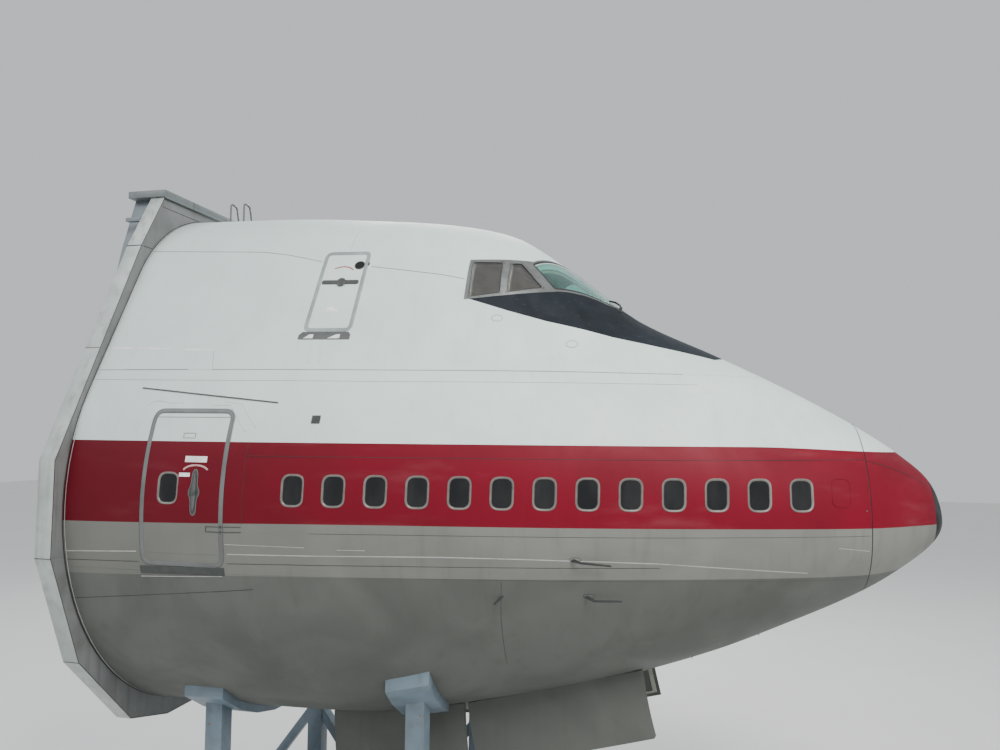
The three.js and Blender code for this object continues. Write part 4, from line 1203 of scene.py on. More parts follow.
def lay_row(name, shape, guide, count, first_station, pitch, side, coat):
    """A row of one part along the skin of one side, as one piece."""
    unit = as_object("unit", shape)
    base = as_object(name, ([(0.0, 0.0, 0.0)], []), repair=False)
    grow(base, "Row laid on the skin", row_tree,
         {"Part": unit, "Skin": guide, "Count": count, "Start": (NOSE_TIP - first_station, 0.0, BELLY),
          "Step": (-pitch, 0.0, 0.0), "Side": float(side), "Material": finish(coat)})
    drop(unit)
    dress(base, coat, smooth=30)


class NOSE_OT_windows(bpy.types.Operator):
    """Lay the rows of cabin windows on both sides, with one more in each main door"""
    bl_idname = "nose.windows"
    bl_label = "Cabin windows"

    def execute(self, context):
        windows = context.scene.nose_windows
        guide = hull_form("skin_guide", 1.2, CUT, 200, 0.0)
        set_facing(guide, skin_normals(values(guide.data.vertices, "co")))
        for hand, side in SIDES:
            for what, (shape, coat) in window_parts(windows).items():
                for row, count, start in (("cabin", windows.count, windows.first), ("door", 1, DOOR_WINDOW)):
                    lay_row(f"{row}_window_{what}_{hand}", shape, guide, count, start, windows.pitch, side,
                            coat)
        drop(guide)
        for hand, side in SIDES:
            ring_line = window_outline(windows, (1.480, 3.558), 0.032)
            piece(f"plugged_window_{hand}", edging(ring_line, side, 0.007, 0.0014, 0.02), "livery")
        return {"FINISHED"}


class NOSE_OT_doors(bpy.types.Operator):
    """Build the main doors and the upper deck door with their mouldings, handles and plates"""
    bl_idname = "nose.doors"
    bl_label = "Plug doors"

    def execute(self, context):
        doors, windows = context.scene.nose_doors, context.scene.nose_windows
        for hand, side in SIDES:
            hole = side_prism(window_outline(windows, (DOOR_WINDOW, windows.height), 0.010), side)
            self.leaf_piece(f"main_door_leaf_{hand}", leaf(doors, "main"), side, 0.090, (8.7, 10.3), hole,
                            f"main_door_{hand}")
            self.main_door_parts(doors, hand, side)
        self.leaf_piece("upper_deck_door_leaf", leaf(doors, "upper"), -1, 0.070, (7.5, 8.6), None,
                        "upper_deck_door")
        self.upper_door_parts(doors)
        return {"FINISHED"}

    def leaf_piece(self, name, outline, side, depth, span, hole, node):
        """A door's leaf: the skin within its outline, with a hole for its window if it has one."""
        made = carve(hull_form(name, *span, 40, 0.0, depth), side_prism(outline, side, 0.6), "INTERSECT")
        if hole:
            carve(made, hole)
        dress(shade_like_skin(made), "livery", stands_for=(node,))

    def main_door_parts(self, doors, hand, side):
        """Everything on and round one main door."""
        def add(name, shape, coat):
            piece(f"door_{name}_{hand}", shape, coat)

        front, rear, sill = doors.main_front, doors.main_rear, doors.main_sill
        trim, gap = doors.trim, doors.gap
        add("moulding", edging(leaf(doors, "main", -trim / 2 - 0.002), side, trim, 0.005, 0.06), "trim")
        add("seal", edging(leaf(doors, "main", gap / 2), side, gap * 0.7, -0.003, 0.06, 0.030), "seal")
        plate_line = (front + 0.01, sill - 0.045), (rear + 0.02, sill - 0.062)
        add("scuff_plate", strip(plate_line, side, 0.100, 0.006, 0.08), "sill")
        edge_line = (front + 0.04, sill - 0.107), (rear + 0.02, sill - 0.152)
        add("scuff_edge", strip(edge_line, side, 0.008, 0.004, 0.08), "lap")
        middle = (9.340, 3.4835)

        def recess(inset):
            return handle_outline(middle, 0.285 - inset, 0.040 - inset, 0.036)

        add("handle_recess", pad(recess, side, (0.004, -0.001), (0.004, 0.0010), (0.012, 0.0014)), "umber")
        add("handle", pad(oval_of(middle, (0.052, 0.470), 32), side, (0, 0.0016), (0, 0.010), (0.005, 0.015),
                          (0.012, 0.017), (0.020, 0.018)), "slate")
        add("handle_boss", pad(oval_of(middle, (0.070, 0.070)), side, (0, 0.0185), (0, 0.023), (0.005, 0.026),
                               (0.024, 0.027)), "umber")
        add("handle_rim", edging(recess(0), side, 0.010, 0.003), "trim")
        add("blank_plates", [plate(rectangle(place, size), side, 0.0015) for place, size in (
            ((9.355, 3.895), (0.300, 0.075)), ((9.490, 3.700), (0.150, 0.048)))], "plate")
        add("sign_rim", edging(rectangle((9.505, 4.190), (0.165, 0.060)), side, 0.006, 0.0012, 0.02), "trim")
        arc = [(9.345 + 0.175 * math.cos(a), 3.735 + 0.085 * math.sin(a)) for a in np.linspace(0.30, 2.8, 18)]
        add("arc_mark", strip(arc, side, 0.022, 0.0012), "pink")
        heights = (3.068, 3.004)
        arms = [strip([(9.16, z), (9.00, z - 0.002), (8.85, z), (8.70, z + 0.003)], side, 0.007, 0.005)
                for z in heights]
        arms += [pad(lambda i: rectangle((8.965, z), (0.028 - i, 0.022 - i)), side, (0, -0.001), (0, 0.010),
                     (0.004, 0.014)) for z in heights]
        arms.append(strip([(9.160, 3.072), (9.160, 3.000)], side, 0.008, 0.006))
        add("hinge_arms", arms, "sill")
        inner = trim + 0.012
        add("gate_seams", [strip([(front + inner, z), (rear - inner, z)], side, 0.006, 0.0014, 0.1)
                           for z in (4.425, 2.715)], "trim")
        add("corner_bands", [strip(line, side, 0.022, 0.0055, 0.04) for line in (
            [(9.267, 4.590), (9.032, 4.590), (8.844, 4.345), (8.761, 4.247)],
            [(9.129, 4.640), (8.886, 4.608), (8.639, 4.309)],
            [(10.246, 4.580), (10.155, 4.640), (10.014, 4.640), (9.892, 4.612), (9.711, 4.622)])], "livery")

    def upper_door_parts(self, doors):
        """Porthole, handle, sill and marks of the upper deck door, on the right side only."""
        def add(name, shape, coat):
            piece(f"upper_door_{name}", shape, coat)

        gap = doors.gap
        add("seal", edging(leaf(doors, "upper", gap / 2), -1, gap * 0.7, -0.002, 0.05, 0.030), "seal")
        add("moulding", edging(leaf(doors, "upper", -0.027), -1, 0.050, 0.004, 0.05), "pale_trim")
        port = (7.836, 6.600)
        add("porthole_rim", pad(oval_of(port, (0.154, 0.136), 28), -1, (0, -0.001), (0, 0.003), (0.002, 0.005),
                                (0.008, 0.005), (0.010, 0.001), (0.010, -0.001), looped=True), "bezel")
        # The porthole's dark glass is painted shade of the cabin behind it.
        add("porthole", pad(oval_of(port, (0.133, 0.115), 28), -1, (0, 0.0003), (0, 0.002), (0.02, 0.0025)),
            "cabin_glass")

        def bar(inset):
            return rounded(rectangle((8.052, 6.334), (0.528 - 2 * inset, 0.060 - 2 * inset)), 0.029 - inset)

        add("handle", pad(bar, -1, (0, -0.001), (0, 0.010), (0.005, 0.014), (0.012, 0.015)), "umber")
        add("handle_boss", pad(oval_of((8.035, 6.328), (0.124, 0.124), 28), -1, (0, 0.0155), (0, 0.022),
                               (0.006, 0.027), (0.03, 0.029)), "umber")
        low, high = doors.upper_sill - 0.110, doors.upper_sill - 0.010
        sill = [(7.716, low), (8.415, low), (8.415, high - 0.045), (8.372, high), (7.746, high),
                (7.716, high - 0.035)]
        add("sill", pad(lambda i: filled(grown(sill, -i), 0.06), -1, (0, -0.001), (0, 0.005), (0.002, 0.006)),
            "slate")
        add("sill_rim", edging(sill, -1, 0.007, 0.008, 0.05), "trim")
        wedges = [[(a, low + 0.010), (b, low + 0.010), (b, low + 0.068), (b + 0.055, low + 0.064)]
                  for a, b in ((8.349, 8.215), (8.014, 7.851))]
        add("sill_wedges", [plate(wedge, -1, 0.0075, 0.0061) for wedge in wedges], "plate")
        add("patches", [strip([(s, 5.476), (s - 0.048, 5.141)], -1, width, 0.0014, 0.08)
                        for s, width in ((8.185, 0.100), (8.050, 0.065))], "livery")
        arc = [(8.19, 6.552), (8.12, 6.575), (8.05, 6.582), (7.98, 6.570), (7.91, 6.530)]
        add("arc_mark", strip(arc, -1, 0.018, 0.0012, 0.02), "mark")
        add("plates", [plate(rectangle(place, size), -1, 0.0012) for place, size in (
            ((8.065, 5.925), (0.160, 0.070)), ((8.235, 6.455), (0.120, 0.034)))], "plate")
        add("hinge_mark", plate(rectangle((7.708, 6.620), (0.020, 0.050)), -1, 0.006), "sill")


CAB = {"front": 3.950, "rear": 7.400, "floor": 5.0503}


class NOSE_OT_glazing(bpy.types.Operator):
    """Build the flight deck glass with its frames, seals and wipers"""
    bl_idname = "nose.glazing"
    bl_label = "Flight deck glass"

    def execute(self, context):
        for hand, side in SIDES:
            for kind, cutter in pane_prisms(-0.0005, side).items():
                made = hull_form(f"{kind}_pane_{hand}", 3.9, 6.5, 50, 0.012, 0.032)
                dress(shade_like_skin(carve(made, cutter, "INTERSECT")),
                      "deck_glass" if kind == "windshield" else "side_glass", stands_for=(f"{kind}_{hand}",))
            made = hull_form(f"deck_window_surround_{hand}", 3.9, 6.6, 60, -0.0035, -0.0002)
            front_part = as_object("front_part", windshield_prism(0.050, side, 0))
            carve(front_part, side_prism(SURROUND, side, 0.9, 2.6), "UNION")
            carve(front_part, box(at(8, side * 0.006, 0), at(2, side * 4.0, 9)), "INTERSECT")
            carve(made, front_part, "INTERSECT")
            carve(made, merge(*list(pane_prisms(0.010, side).values())[:2]))
            dress(shade_like_skin(carve(made, windshield_prism(0.028, side))), "window_frame")
            self.seals(hand, side)
            self.wiper(hand, side)
        return {"FINISHED"}

    def seals(self, hand, side):
        """Black seals between the glass and its frame."""
        lip = ((-0.005, -0.014), (-0.005, 0.002), (0.0048, 0.002), (0.0048, 0.0005), (-0.0015, 0.0005),
               (-0.0015, -0.014))
        strips, spots = [], []
        for corners in SIDE_PANES.values():
            line = filled(rounded(grown(corners, 0.005), PANE_CORNER), 0.04)
            strips.append(moulding(line, lip, laid(side)))
            spots += filled(rounded(grown(corners, 0.022), PANE_CORNER), 0.075)
        plan = grown([(s, side * y) for s, y in WINDSHIELD], 0.0142)
        broad = [(offset * 2.75, out) for offset, out in lip]
        strips.append(moulding(filled(rounded(plan, FRONT_CORNER), 0.04), broad, on_crown))
        piece(f"deck_window_seals_{hand}", strips, "seal")
        spots = on_side([(s, z, 0.0035) for s, z in spots], side)
        fasteners(f"deck_window_screws_{hand}", spots, skin_normals(spots), rivet(0.0055, 0.0010), "seal")

    def wiper(self, hand, side):
        """A parked wiper: pivot, arm and blade at the foot of the windshield."""
        blade = [(s, side * y) for s, y in ((4.335, 0.12), (4.395, 0.34), (4.455, 0.56))]
        spine = tube(on_crown([(*spot, 0.044) for spot in blade]), 0.006, 8)
        foot = (4.300, side * 0.520)
        arm = tube(on_crown([(*foot, 0.058), (4.350, side * 0.430, 0.060), (*blade[1], 0.046)]),
                   (0.013, 0.010, 0.007), 10)
        pivot = on_crown([(*foot, 0.0)])
        post = lathe(((0.042, -0.004), (0.042, 0.014), (0.026, 0.020), (0.022, 0.058), (0.012, 0.064),
                      (0, 0.064), (0, -0.004)), pivot[0], skin_normals(pivot)[0], 20)
        piece(f"wiper_{hand}", [spine, arm, post], "sill")
        piece(f"wiper_blade_{hand}", tube(on_crown([(*spot, 0.030) for spot in blade]), 0.009, 8), "seal")


def cushion(centre, half, tilt, tuft, rows=26, columns=36):
    """A stuffed, crowned block of three half sizes, leaning by an angle, with seams pressed in."""
    def rise(value):
        return math.copysign(abs(value) ** 0.42, value)

    turn = Matrix.Rotation(tilt, 3, "Y")
    points = []
    for v in np.linspace(-math.pi / 2, math.pi / 2, rows + 1):
        for u in turns(columns):
            girth = rise(math.cos(v))
            x, y, z = girth * rise(math.cos(u)), girth * rise(math.sin(u)), rise(math.sin(v))
            crown = max(0.0, z if half[2] < half[0] else abs(x))
            press = 1 - tuft * math.exp(-((abs(y) - 0.5) / 0.07) ** 2) * crown
            points.append(tuple(Vector(centre) + turn @ Vector((x * half[0] * press, y * half[1],
                                                                z * half[2] * press))))
    return points, grid_faces(rows + 1, columns, capped=False)


class NOSE_OT_flight_deck(bpy.types.Operator):
    """Build the flight deck's floor, walls, panels, controls and seats"""
    bl_idname = "nose.flight_deck"
    bl_label = "Flight deck"

    def execute(self, context):
        front, rear, floor = CAB["front"], CAB["rear"], CAB["floor"]
        walls = hull_form("flight_deck_lining", front, rear, 60, 0.120, 0.150)
        carve(walls, box(at(9, -4, floor + 0.002), at(1, 4, 9)), "INTERSECT")
        for _, side in SIDES:
            for cutter in pane_prisms(0.012, side).values():
                carve(walls, cutter)
        dress(shade_like_skin(walls), "lining")
        for name, low, high, start, end, coat in (
                ("flight_deck_floor", 4.990, floor, front, rear, "plastic"),
                ("flight_deck_rear_wall", floor, 8.0, rear - 0.040, rear, "lining"),
                ("flight_deck_front_wall", floor, 8.0, front, front + 0.040, "plastic")):
            made = hull_form(name, start + 0.001, end - 0.001, 40, 0.151)
            carve(made, box(at(9, -4, low + 0.001), at(1, 4, high)), "INTERSECT")
            dress(made, coat, smooth=25)
        foot, head = floor + 0.01, 6.95
        door = stacked(lambda i: rounded([(i - 0.33, foot), (0.33 - i, foot), (0.33 - i, head - i),
                                          (i - 0.33, head - i)], 0.04), ((0, 0.0), (0, 0.018), (0.006, 0.022)),
                       lambda rows: [at(rear - 0.041 - out, y, z) for y, z, out in rows])
        piece("flight_deck_inner_door", door, "trim")
        self.panels()
        for hand, side in SIDES:
            self.controls(hand, side * 0.560)
            self.seat(hand, side * 0.560)
        return {"FINISHED"}

    def panels(self):
        """Instrument panel, its screens and dials, and the panel overhead."""
        refined("instrument_panel_body", "instrument_panel", "plastic", bevel=0.008)
        face = 4.9005
        screens = [box(at(face + 0.012, y - 0.085, 5.640), at(face, y + 0.085, 5.820))
                   for y in (-0.95, -0.72, -0.24, 0.0, 0.24, 0.72, 0.95)]
        piece("panel_screens", screens, "dial", bevel=0.003)
        spots = [at(face, y, z) for y in (-1.18, -0.50, -0.40, 0.40, 0.50, 1.18) for z in (5.60, 5.70, 5.80)]
        dial = lathe(((0.036, -0.001), (0.036, 0.006), (0.030, 0.009), (0.028, 0.005), (0, 0.005), (0, -0.001)),
                     (0, 0, 0), UP, 16)
        fasteners("panel_dials", spots, [(-1, 0, 0)] * len(spots), dial, "frame")
        tilt = Matrix.Translation(at(5.2, 0, 6.40)) @ Matrix.Rotation(math.radians(26), 4, "Y") \
            @ Matrix.Translation(-at(5.2, 0, 6.73))
        overhead = box(at(5.95, -0.30, 6.70), at(5.20, 0.30, 6.76))
        piece("overhead_panel", placed(overhead, tilt), "plastic", bevel=0.008)
        grid = [tilt @ at(5.25 + 0.075 * i, -0.24 + 0.08 * k, 6.7) for i in range(9) for k in range(7)]
        knob = lathe(((0.010, 0.0), (0.010, 0.012), (0.006, 0.016), (0, 0.016), (0, 0.0)), (0, 0, 0), UP, 8)
        down = tuple(tilt.to_3x3() @ Vector((0, 0, -1)))
        fasteners("overhead_knobs", grid, [down] * len(grid), knob, "trim", spin=ANY_TURN, seed=3)
        across_desk = (-0.09, -0.03, 0.03, 0.09)
        levers = [tube([at(5.20, y, 5.555), at(5.16, y, 5.70)], 0.008, 10) for y in across_desk]
        piece("throttle_levers", levers, "frame")
        piece("throttle_knobs", [lathe(((0, -0.018), (0.018, -0.012), (0.018, 0.012), (0, 0.018)),
                                       at(5.157, y, 5.71), (0, 1, 0), 16) for y in across_desk], "seal")

    def controls(self, hand, y):
        """A control column with its wheel."""
        bends = ((5.22, CAB["floor"] + 0.005), (5.22, 5.30), (5.26, 5.62), (5.31, 5.72))
        column = tube([at(s, y, z) for s, z in bends], (0.045, 0.032, 0.026, 0.024), 16)
        rim = [at(5.345, y + 0.17 * math.sin(a), 5.745 + 0.13 * math.cos(a))
               for a in np.linspace(math.radians(50), math.radians(310), 26)]
        wheel = [tube(rim, 0.014), tube([at(5.345, y - 0.165, 5.72), at(5.345, y + 0.165, 5.72)], 0.016),
                 lathe(((0, 0), (0.05, 0), (0.05, 0.035), (0, 0.035)), at(5.328, y, 5.72), (-1, 0, 0), 20)]
        piece(f"control_column_{hand}", column, "plastic")
        piece(f"control_wheel_{hand}", wheel, "seal")

    def seat(self, hand, y):
        """A pilot's seat: stuffed cushions on a shell, with arm rests and a pedestal."""
        def near(*place):
            return at(6.0, y, CAB["floor"]) + Vector(place)

        lean = math.atan2(-0.33 + 0.22, 1.08 - 0.40)
        for name, middle, half, tilt, fill in (
                ("pan", near(0.025, 0, 0.395), (0.245, 0.235, 0.070), 0.0, 0.85),
                ("back", near(-0.255, 0, 0.735), (0.062, 0.225, 0.330), lean, 0.80),
                ("head", near(-0.325, 0, 1.150), (0.050, 0.135, 0.085), lean, 0.85)):
            made = piece(f"seat_{name}_{hand}", cushion(middle, half, tilt, 0.10), "cloth",
                         smooth=60, stands_for=(f"pilot_seat_{hand}",) if name == "pan" else ())
        piece(f"seat_base_{hand}", [box(near(-0.12, -0.13, 0.006), near(0.12, 0.13, 0.045)),
                                    box(near(-0.07, -0.09, 0.046), near(0.07, 0.09, 0.300)),
                                    box(near(-0.22, -0.22, 0.301), near(0.24, 0.22, 0.322))], "trim",
              bevel=0.006)
        arms, neck = [], []
        for end in (-1, 1):
            dy = end * 0.275
            arms += [tube([near(-0.24, dy, 0.40), near(-0.24, dy, 0.60)], 0.014, 10),
                     box(near(-0.24, dy - 0.028, 0.601), near(0.10, dy + 0.028, 0.635))]
            neck.append(tube([near(-0.318, end * 0.05, 1.020), near(-0.326, end * 0.05, 1.090)], 0.008, 8))
        piece(f"seat_arms_{hand}", arms, "plastic", bevel=0.006)
        piece(f"seat_neck_{hand}", neck, "frame")


class NOSE_OT_radome(bpy.types.Operator):
    """Build the radome, its liner and hinge, the nose cap, the bulkhead and the radar antenna"""
    bl_idname = "nose.radome"
    bl_label = "Radome"

    def execute(self, context):
        hull = context.scene.nose_hull
        rear = hull.seam - hull.seam_gap
        for name, front, back, rows, outer, inner, coat, slot, nodes in (
                ("radome_skin", hull.cap + 0.001, rear, 70, 0.0, 0.030, "livery", "radome_paint", ("radome",)),
                ("radome_liner", hull.cap + 0.030, rear - 0.045, 70, 0.0305, 0.034, "radome_wall", None, ()),
                ("radome_ring", rear - 0.040, rear - 0.001, 6, 0.0305, 0.055, "primer", None, ()),
                ("nose_cap_coat", 1e-6, hull.cap - 0.001, 50, 0.0, None, "cap", "nose_cap_coating",
                 ("nose_cap",))):
            made = hull_form(name, front, back, rows, outer, inner)
            dress(shade_like_skin(made), coat, "radome_body", nodes)
        line = [(1.099, 3.952), (0.951, 3.910), (0.675, 3.825), (0.409, 3.701), (0.215, 3.604)]
        for hand, side in SIDES:
            piece(f"radome_line_{hand}", strip(line, side, 0.006, 0.0008, 0.05), "seal", "radome_body")
        seal = [at(hull.seam - 0.004, y, z) for y, z in ring(hull.seam, 0.006)]
        piece("radome_seam_seal", tube(seal, 0.0035, 6, closed=True), "seal", smooth=60)
        self.hinge()
        self.inside()
        return {"FINISHED"}

    def hinge(self):
        """The hinge on top of the seam, its middle on the radome and its ends on the fuselage."""
        joint = next(j for j in frame["joints"] if j["name"] == "radome_hinge")
        x, _, z = joint["pos_m"]
        for name, spans, body in (("radome_hinge_middle", ((-0.149, -0.055), (0.055, 0.149)), "radome_body"),
                                  ("radome_hinge_ends", ((-0.200, -0.152), (-0.052, 0.052), (0.152, 0.200)),
                                   "airframe")):
            piece(name, [tube([(x, a, z), (x, b, z)], 0.0088, 16) for a, b in spans], "steel", body, smooth=40)
        points = on_crown([(1.080, y, 0.0) for y in np.arange(-0.60, 0.61, 0.10)])
        fasteners("radome_latch_screws", points, skin_normals(points), rivet(0.007, 0.0012), "steel",
                  "radome_body")

    def inside(self):
        """Bulkhead with stiffeners, and the antenna with its slots and drive."""
        refined("radome_bulkhead_plate", "radome_bulkhead", "primer", bevel=0.002)
        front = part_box("radome_bulkhead")[1].x
        middle = BELLY + 3.27
        ribs = [box((front + 0.0005, y - 0.012, middle - reach), (front + 0.022, y + 0.012, middle + reach))
                for y, reach in ((-0.70, 0.62), (-0.42, 0.85), (0.42, 0.85), (0.70, 0.62))]
        piece("bulkhead_stiffeners", ribs, "primer", bevel=0.004)
        refined("radar_antenna_unit", "radar_antenna", "antenna", bevel=0.003)
        low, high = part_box("radar_antenna")
        face, centre = high.x, (low.z + high.z) / 2
        spots = [(face, y, centre + z) for z in np.arange(-0.33, 0.34, 0.033)
                 for y in np.arange(-0.34, 0.35, 0.04) if math.hypot(y, z) < 0.345]
        slit = box((-0.002, -0.012, 0.0), (0.002, 0.012, 0.0008))
        fasteners("antenna_slots", spots, [(1, 0, 0)] * len(spots), slit, "dial")
        rim = [(face - 0.004, 0.3795 * math.cos(a), centre + 0.3795 * math.sin(a)) for a in turns(64)]
        piece("antenna_rim", tube(rim, 0.006, 8, closed=True), "frame")


# Lines along each side: name, path by station and height, width, height over the skin, finish
SKIN_LINES = (
    ("upper_lap", [(11.20, 5.077), (3.35, 5.077)], 0.022, 0.0020, "livery"),
    ("upper_lap_seal_aft", [(11.20, 5.072), (9.83, 5.066)], 0.008, 0.0022, "seal"),
    ("upper_lap_seal", [(9.48, 5.060), (3.40, 5.060)], 0.006, 0.0009, "seal"),
    ("second_lap", [(11.20, 4.932), (9.50, 4.914), (7.30, 4.906), (3.20, 4.916)], 0.004, 0.0008, "seal"),
    ("crown_lap", [(11.20, 5.387), (10.47, 5.371), (9.54, 5.335)], 0.018, 0.0018, "plate"),
    ("crown_lap_end", [(9.555, 5.330), (9.48, 5.075)], 0.004, 0.0007, "gutter"),
    ("crown_butt", [(8.050, 6.850), (8.075, 7.250)], 0.003, 0.0006, "gutter"),
    ("band_seam", [(8.70, 3.945), (3.00, 3.950), (1.13, 3.962)], 0.005, 0.0008, "seal"),
    ("lower_band_seam", [(7.83, 3.011), (3.66, 3.018), (1.135, 3.035)], 0.004, 0.0008, "seal"),
    ("lower_lap_line", [(11.20, 2.680), (10.10, 2.721), (8.94, 2.729), (6.26, 2.750), (5.31, 2.741),
                        (4.37, 2.722), (3.66, 2.700), (2.72, 2.635), (1.90, 2.575)], 0.012, 0.0014, "lap"),
    ("lower_lap_seal", [(11.20, 2.570), (10.12, 2.588), (8.95, 2.609), (8.15, 2.621), (6.26, 2.630),
                        (4.96, 2.638), (3.66, 2.648)], 0.006, 0.0008, "seal"),
    ("lower_mark_aft", [(8.92, 2.851), (7.90, 2.838)], 0.007, 0.0008, "lap"),
    ("lower_mark_middle", [(7.50, 2.817), (7.16, 2.815)], 0.007, 0.0008, "lap"),
    ("lower_mark_front", [(1.53, 2.889), (1.15, 2.845)], 0.007, 0.0008, "lap"),
    ("belly_seam_high", [(11.20, 2.040), (8.60, 2.290)], 0.006, 0.0010, "seal"),
    ("belly_butt", [(5.540, 2.465), (5.580, 1.984), (5.600, 1.300)], 0.005, 0.0010, "seal"),
    ("crease", CREASE, 0.020, 0.0045, "livery"),
    ("crease_seal", [(s, z - 0.013) for s, z in CREASE], 0.006, 0.0010, "seal"),
    ("butt_aft", [(8.690, 3.10), (8.690, 4.10)], 0.004, 0.0007, "seal"),
    # The gutter is a dark strip, painted shade on its face, with a light strip along its top that is a painted
    # highlight.
    ("gutter", [(10.400, 4.808), (9.373, 4.709), (8.420, 4.616)], 0.010, 0.0120, "gutter"),
    ("gutter_lip", [(10.400, 4.820), (9.373, 4.721), (8.420, 4.628)], 0.006, 0.0130, "plate"),
)


def clear_runs(path, doors, side):
    """A line on the skin broken where a door's leaf or its edge lies under it."""
    areas = [(doors.main_front - 0.01, doors.main_rear + 0.01, doors.main_sill - 0.12, doors.main_head + 0.01)]
    if side < 0:
        areas.append((doors.upper_front - 0.01, doors.upper_rear + 0.01, doors.upper_sill - 0.13,
                      doors.upper_head + 0.01))
    runs = [[]]
    for s, z in path:
        if any(a < s < b and low < z < high for a, b, low, high in areas):
            runs.append([])
        else:
            runs[-1].append((s, z))
    return [run for run in runs if len(run) > 1]


class NOSE_OT_skin_details(bpy.types.Operator):
    """Lay laps, seams, rivets, ports, gutters, probes and the black panel on the skin"""
    bl_idname = "nose.skin_details"
    bl_label = "Skin details"

    def execute(self, context):
        scene = context.scene
        made = hull_form("glare_panel", 2.7, 6.4, 110, -0.0016, -0.0003)
        carve(made, prism(GLARE_LOW + GLARE_HIGH, across, -3.0, 3.0), "INTERSECT")
        for _, side in SIDES:
            carve(made, windshield_prism(0.0505, side, 0))
            carve(made, side_prism(grown(SURROUND, 0.0005), side, 0.9, 2.6))
        dress(shade_like_skin(made), "glare")
        for hand, side in SIDES:
            for name, path, width, out, coat in SKIN_LINES:
                runs = clear_runs(between(path, 0.05), scene.nose_doors, side)
                piece(f"{name}_{hand}", [strip(run, side, width, out) for run in runs], coat)
            self.fittings(hand, side)
            self.probes(hand, side)
        self.rivets(scene.nose_hull, scene.nose_doors, scene.nose_windows)
        return {"FINISHED"}

    def fittings(self, hand, side):
        """Oval ports, a square vent, a small light and drains."""
        rims, lids = [], []
        for middle, radius in (((5.808, 5.790), 0.070), ((4.823, 5.444), 0.075)):
            size = (2 * radius, 1.3 * radius)
            rims.append(edging(oval(middle, size, 32), side, 0.006, 0.0012, 0.05))
            lid = oval_of(middle, [span - 0.016 for span in size], 28)
            lids.append(pad(lid, side, (0, -0.001), (0, 0.0012), (0.01, 0.0018)))
        vent = (7.880, 4.408)
        for name, shape, coat in (
                ("port_rims", rims, "trim"),
                ("port_lids", lids, "livery"),
                ("vent_frame", edging(rectangle(vent, (0.104, 0.096)), side, 0.008, 0.003), "umber"),
                ("vent_slats", [plate(rectangle((vent[0], z), (0.080, 0.006)), side, 0.004, 0.0018)
                                for z in (4.383, 4.400, 4.417, 4.434)], "umber"),
                # Painted shade: a dark plate behind the slats stands for the shade inside the vent.
                ("vent_dark", plate(rectangle(vent, (0.100, 0.092)), side, 0.0015), "sill"),
                ("small_light", pad(oval_of((1.175, 3.340), (0.016, 0.016), 16), side, (0, -0.001), (0, 0.003),
                                    (0.004, 0.006)), "trim"),
                ("drain_masts", [lathe(((0.012, -0.01), (0.012, 0.014), (0.007, 0.030), (0, 0.030), (0, -0.01)),
                                       on_belly([(s, side * 0.32, 0)])[0], (0, 0, -1), 12)
                                 for s in (2.4, 3.3, 9.2, 10.4)], "frame")):
            piece(f"{name}_{hand}", shape, coat)

    def probes(self, hand, side):
        """Two long probes on masts, each with its base plate, and a small swept fin."""
        for number, (s, z), tip in ((1, (4.660, 2.742), (4.245, 2.706)), (2, (4.515, 2.285), (4.135, 2.278))):
            outline = oval_of((s - 0.005, z), (0.130, 0.050), 28)
            bends = on_side([(s + 0.03, z, 0.0), (s - 0.02, z - 0.002, 0.060), (s - 0.07, z - 0.005, 0.092)],
                            side)
            elbow, end = bends[-1], on_side([(*tip, 0.094)], side)[0]
            rod = [elbow + (elbow - end) * 0.12, elbow, (elbow + end) / 2, end + (elbow - end) * 0.06, end]
            piece(f"probe_foot_{number}_{hand}", pad(outline, side, (0, -0.001), (0, 0.003), (0.003, 0.005)),
                  "livery")
            piece(f"probe_foot_rim_{number}_{hand}", edging(outline(-0.003), side, 0.006, 0.0016), "seal")
            piece(f"probe_{number}_{hand}", [tube(bends, (0.024, 0.019, 0.014), 14, flatten=0.45),
                                             tube(rod, (0.009, 0.0145, 0.0135, 0.0115, 0.006), 14)],
                  "seal", smooth=45)
        rows = [(5.525, 2.278, 0.0), (5.570, 2.268, 0.0), (5.632, 2.214, 0.075), (5.654, 2.207, 0.075)]
        low, high = (on_side([(s, z + rise, out) for s, z, out in rows], side) for rise in (-0.005, 0.005))
        piece(f"small_fin_{hand}", ([*low, *high], [(0, 1, 3), (0, 3, 2), (4, 7, 5), (4, 6, 7), (0, 4, 5, 1),
                                                    (1, 5, 7, 3), (3, 7, 6, 2), (2, 6, 4, 0)]), "seal")

    def rivets(self, hull, doors, windows):
        """Rows of rivets along the laps, the seams and every frame, clear of the openings."""
        rows = []
        step, pitch = 0.062, windows.pitch
        for z, start in ((5.082, 3.5), (5.034, 3.5), (4.945, 3.3), (3.975, 1.15), (3.005, 1.15), (2.700, 1.15),
                         (2.500, 1.15), (2.452, 1.20), (2.180, 1.60)):
            rows += [(s, z) for s in np.arange(start, 11.19, step)]
        for i in range(19):
            s = windows.first + (i - 0.5) * pitch
            belly, crown = (float(v) for v in section(s)[:2])
            rows += [(s, z) for z in np.arange(max(belly + 0.5, 2.2), crown - 0.12, step * 1.3)]
        for s in (hull.seam + 0.018, hull.seam + 0.040, 11.205):
            belly, crown = (float(v) for v in section(s)[:2])
            rows += [(s, z) for z in np.arange(belly + 0.2, crown - 0.05, step)]
        rows = np.array(rows)
        s, z = rows.T

        def within(front, rear, low, high):
            return (s > front) & (s < rear) & (z > low) & (z < high)

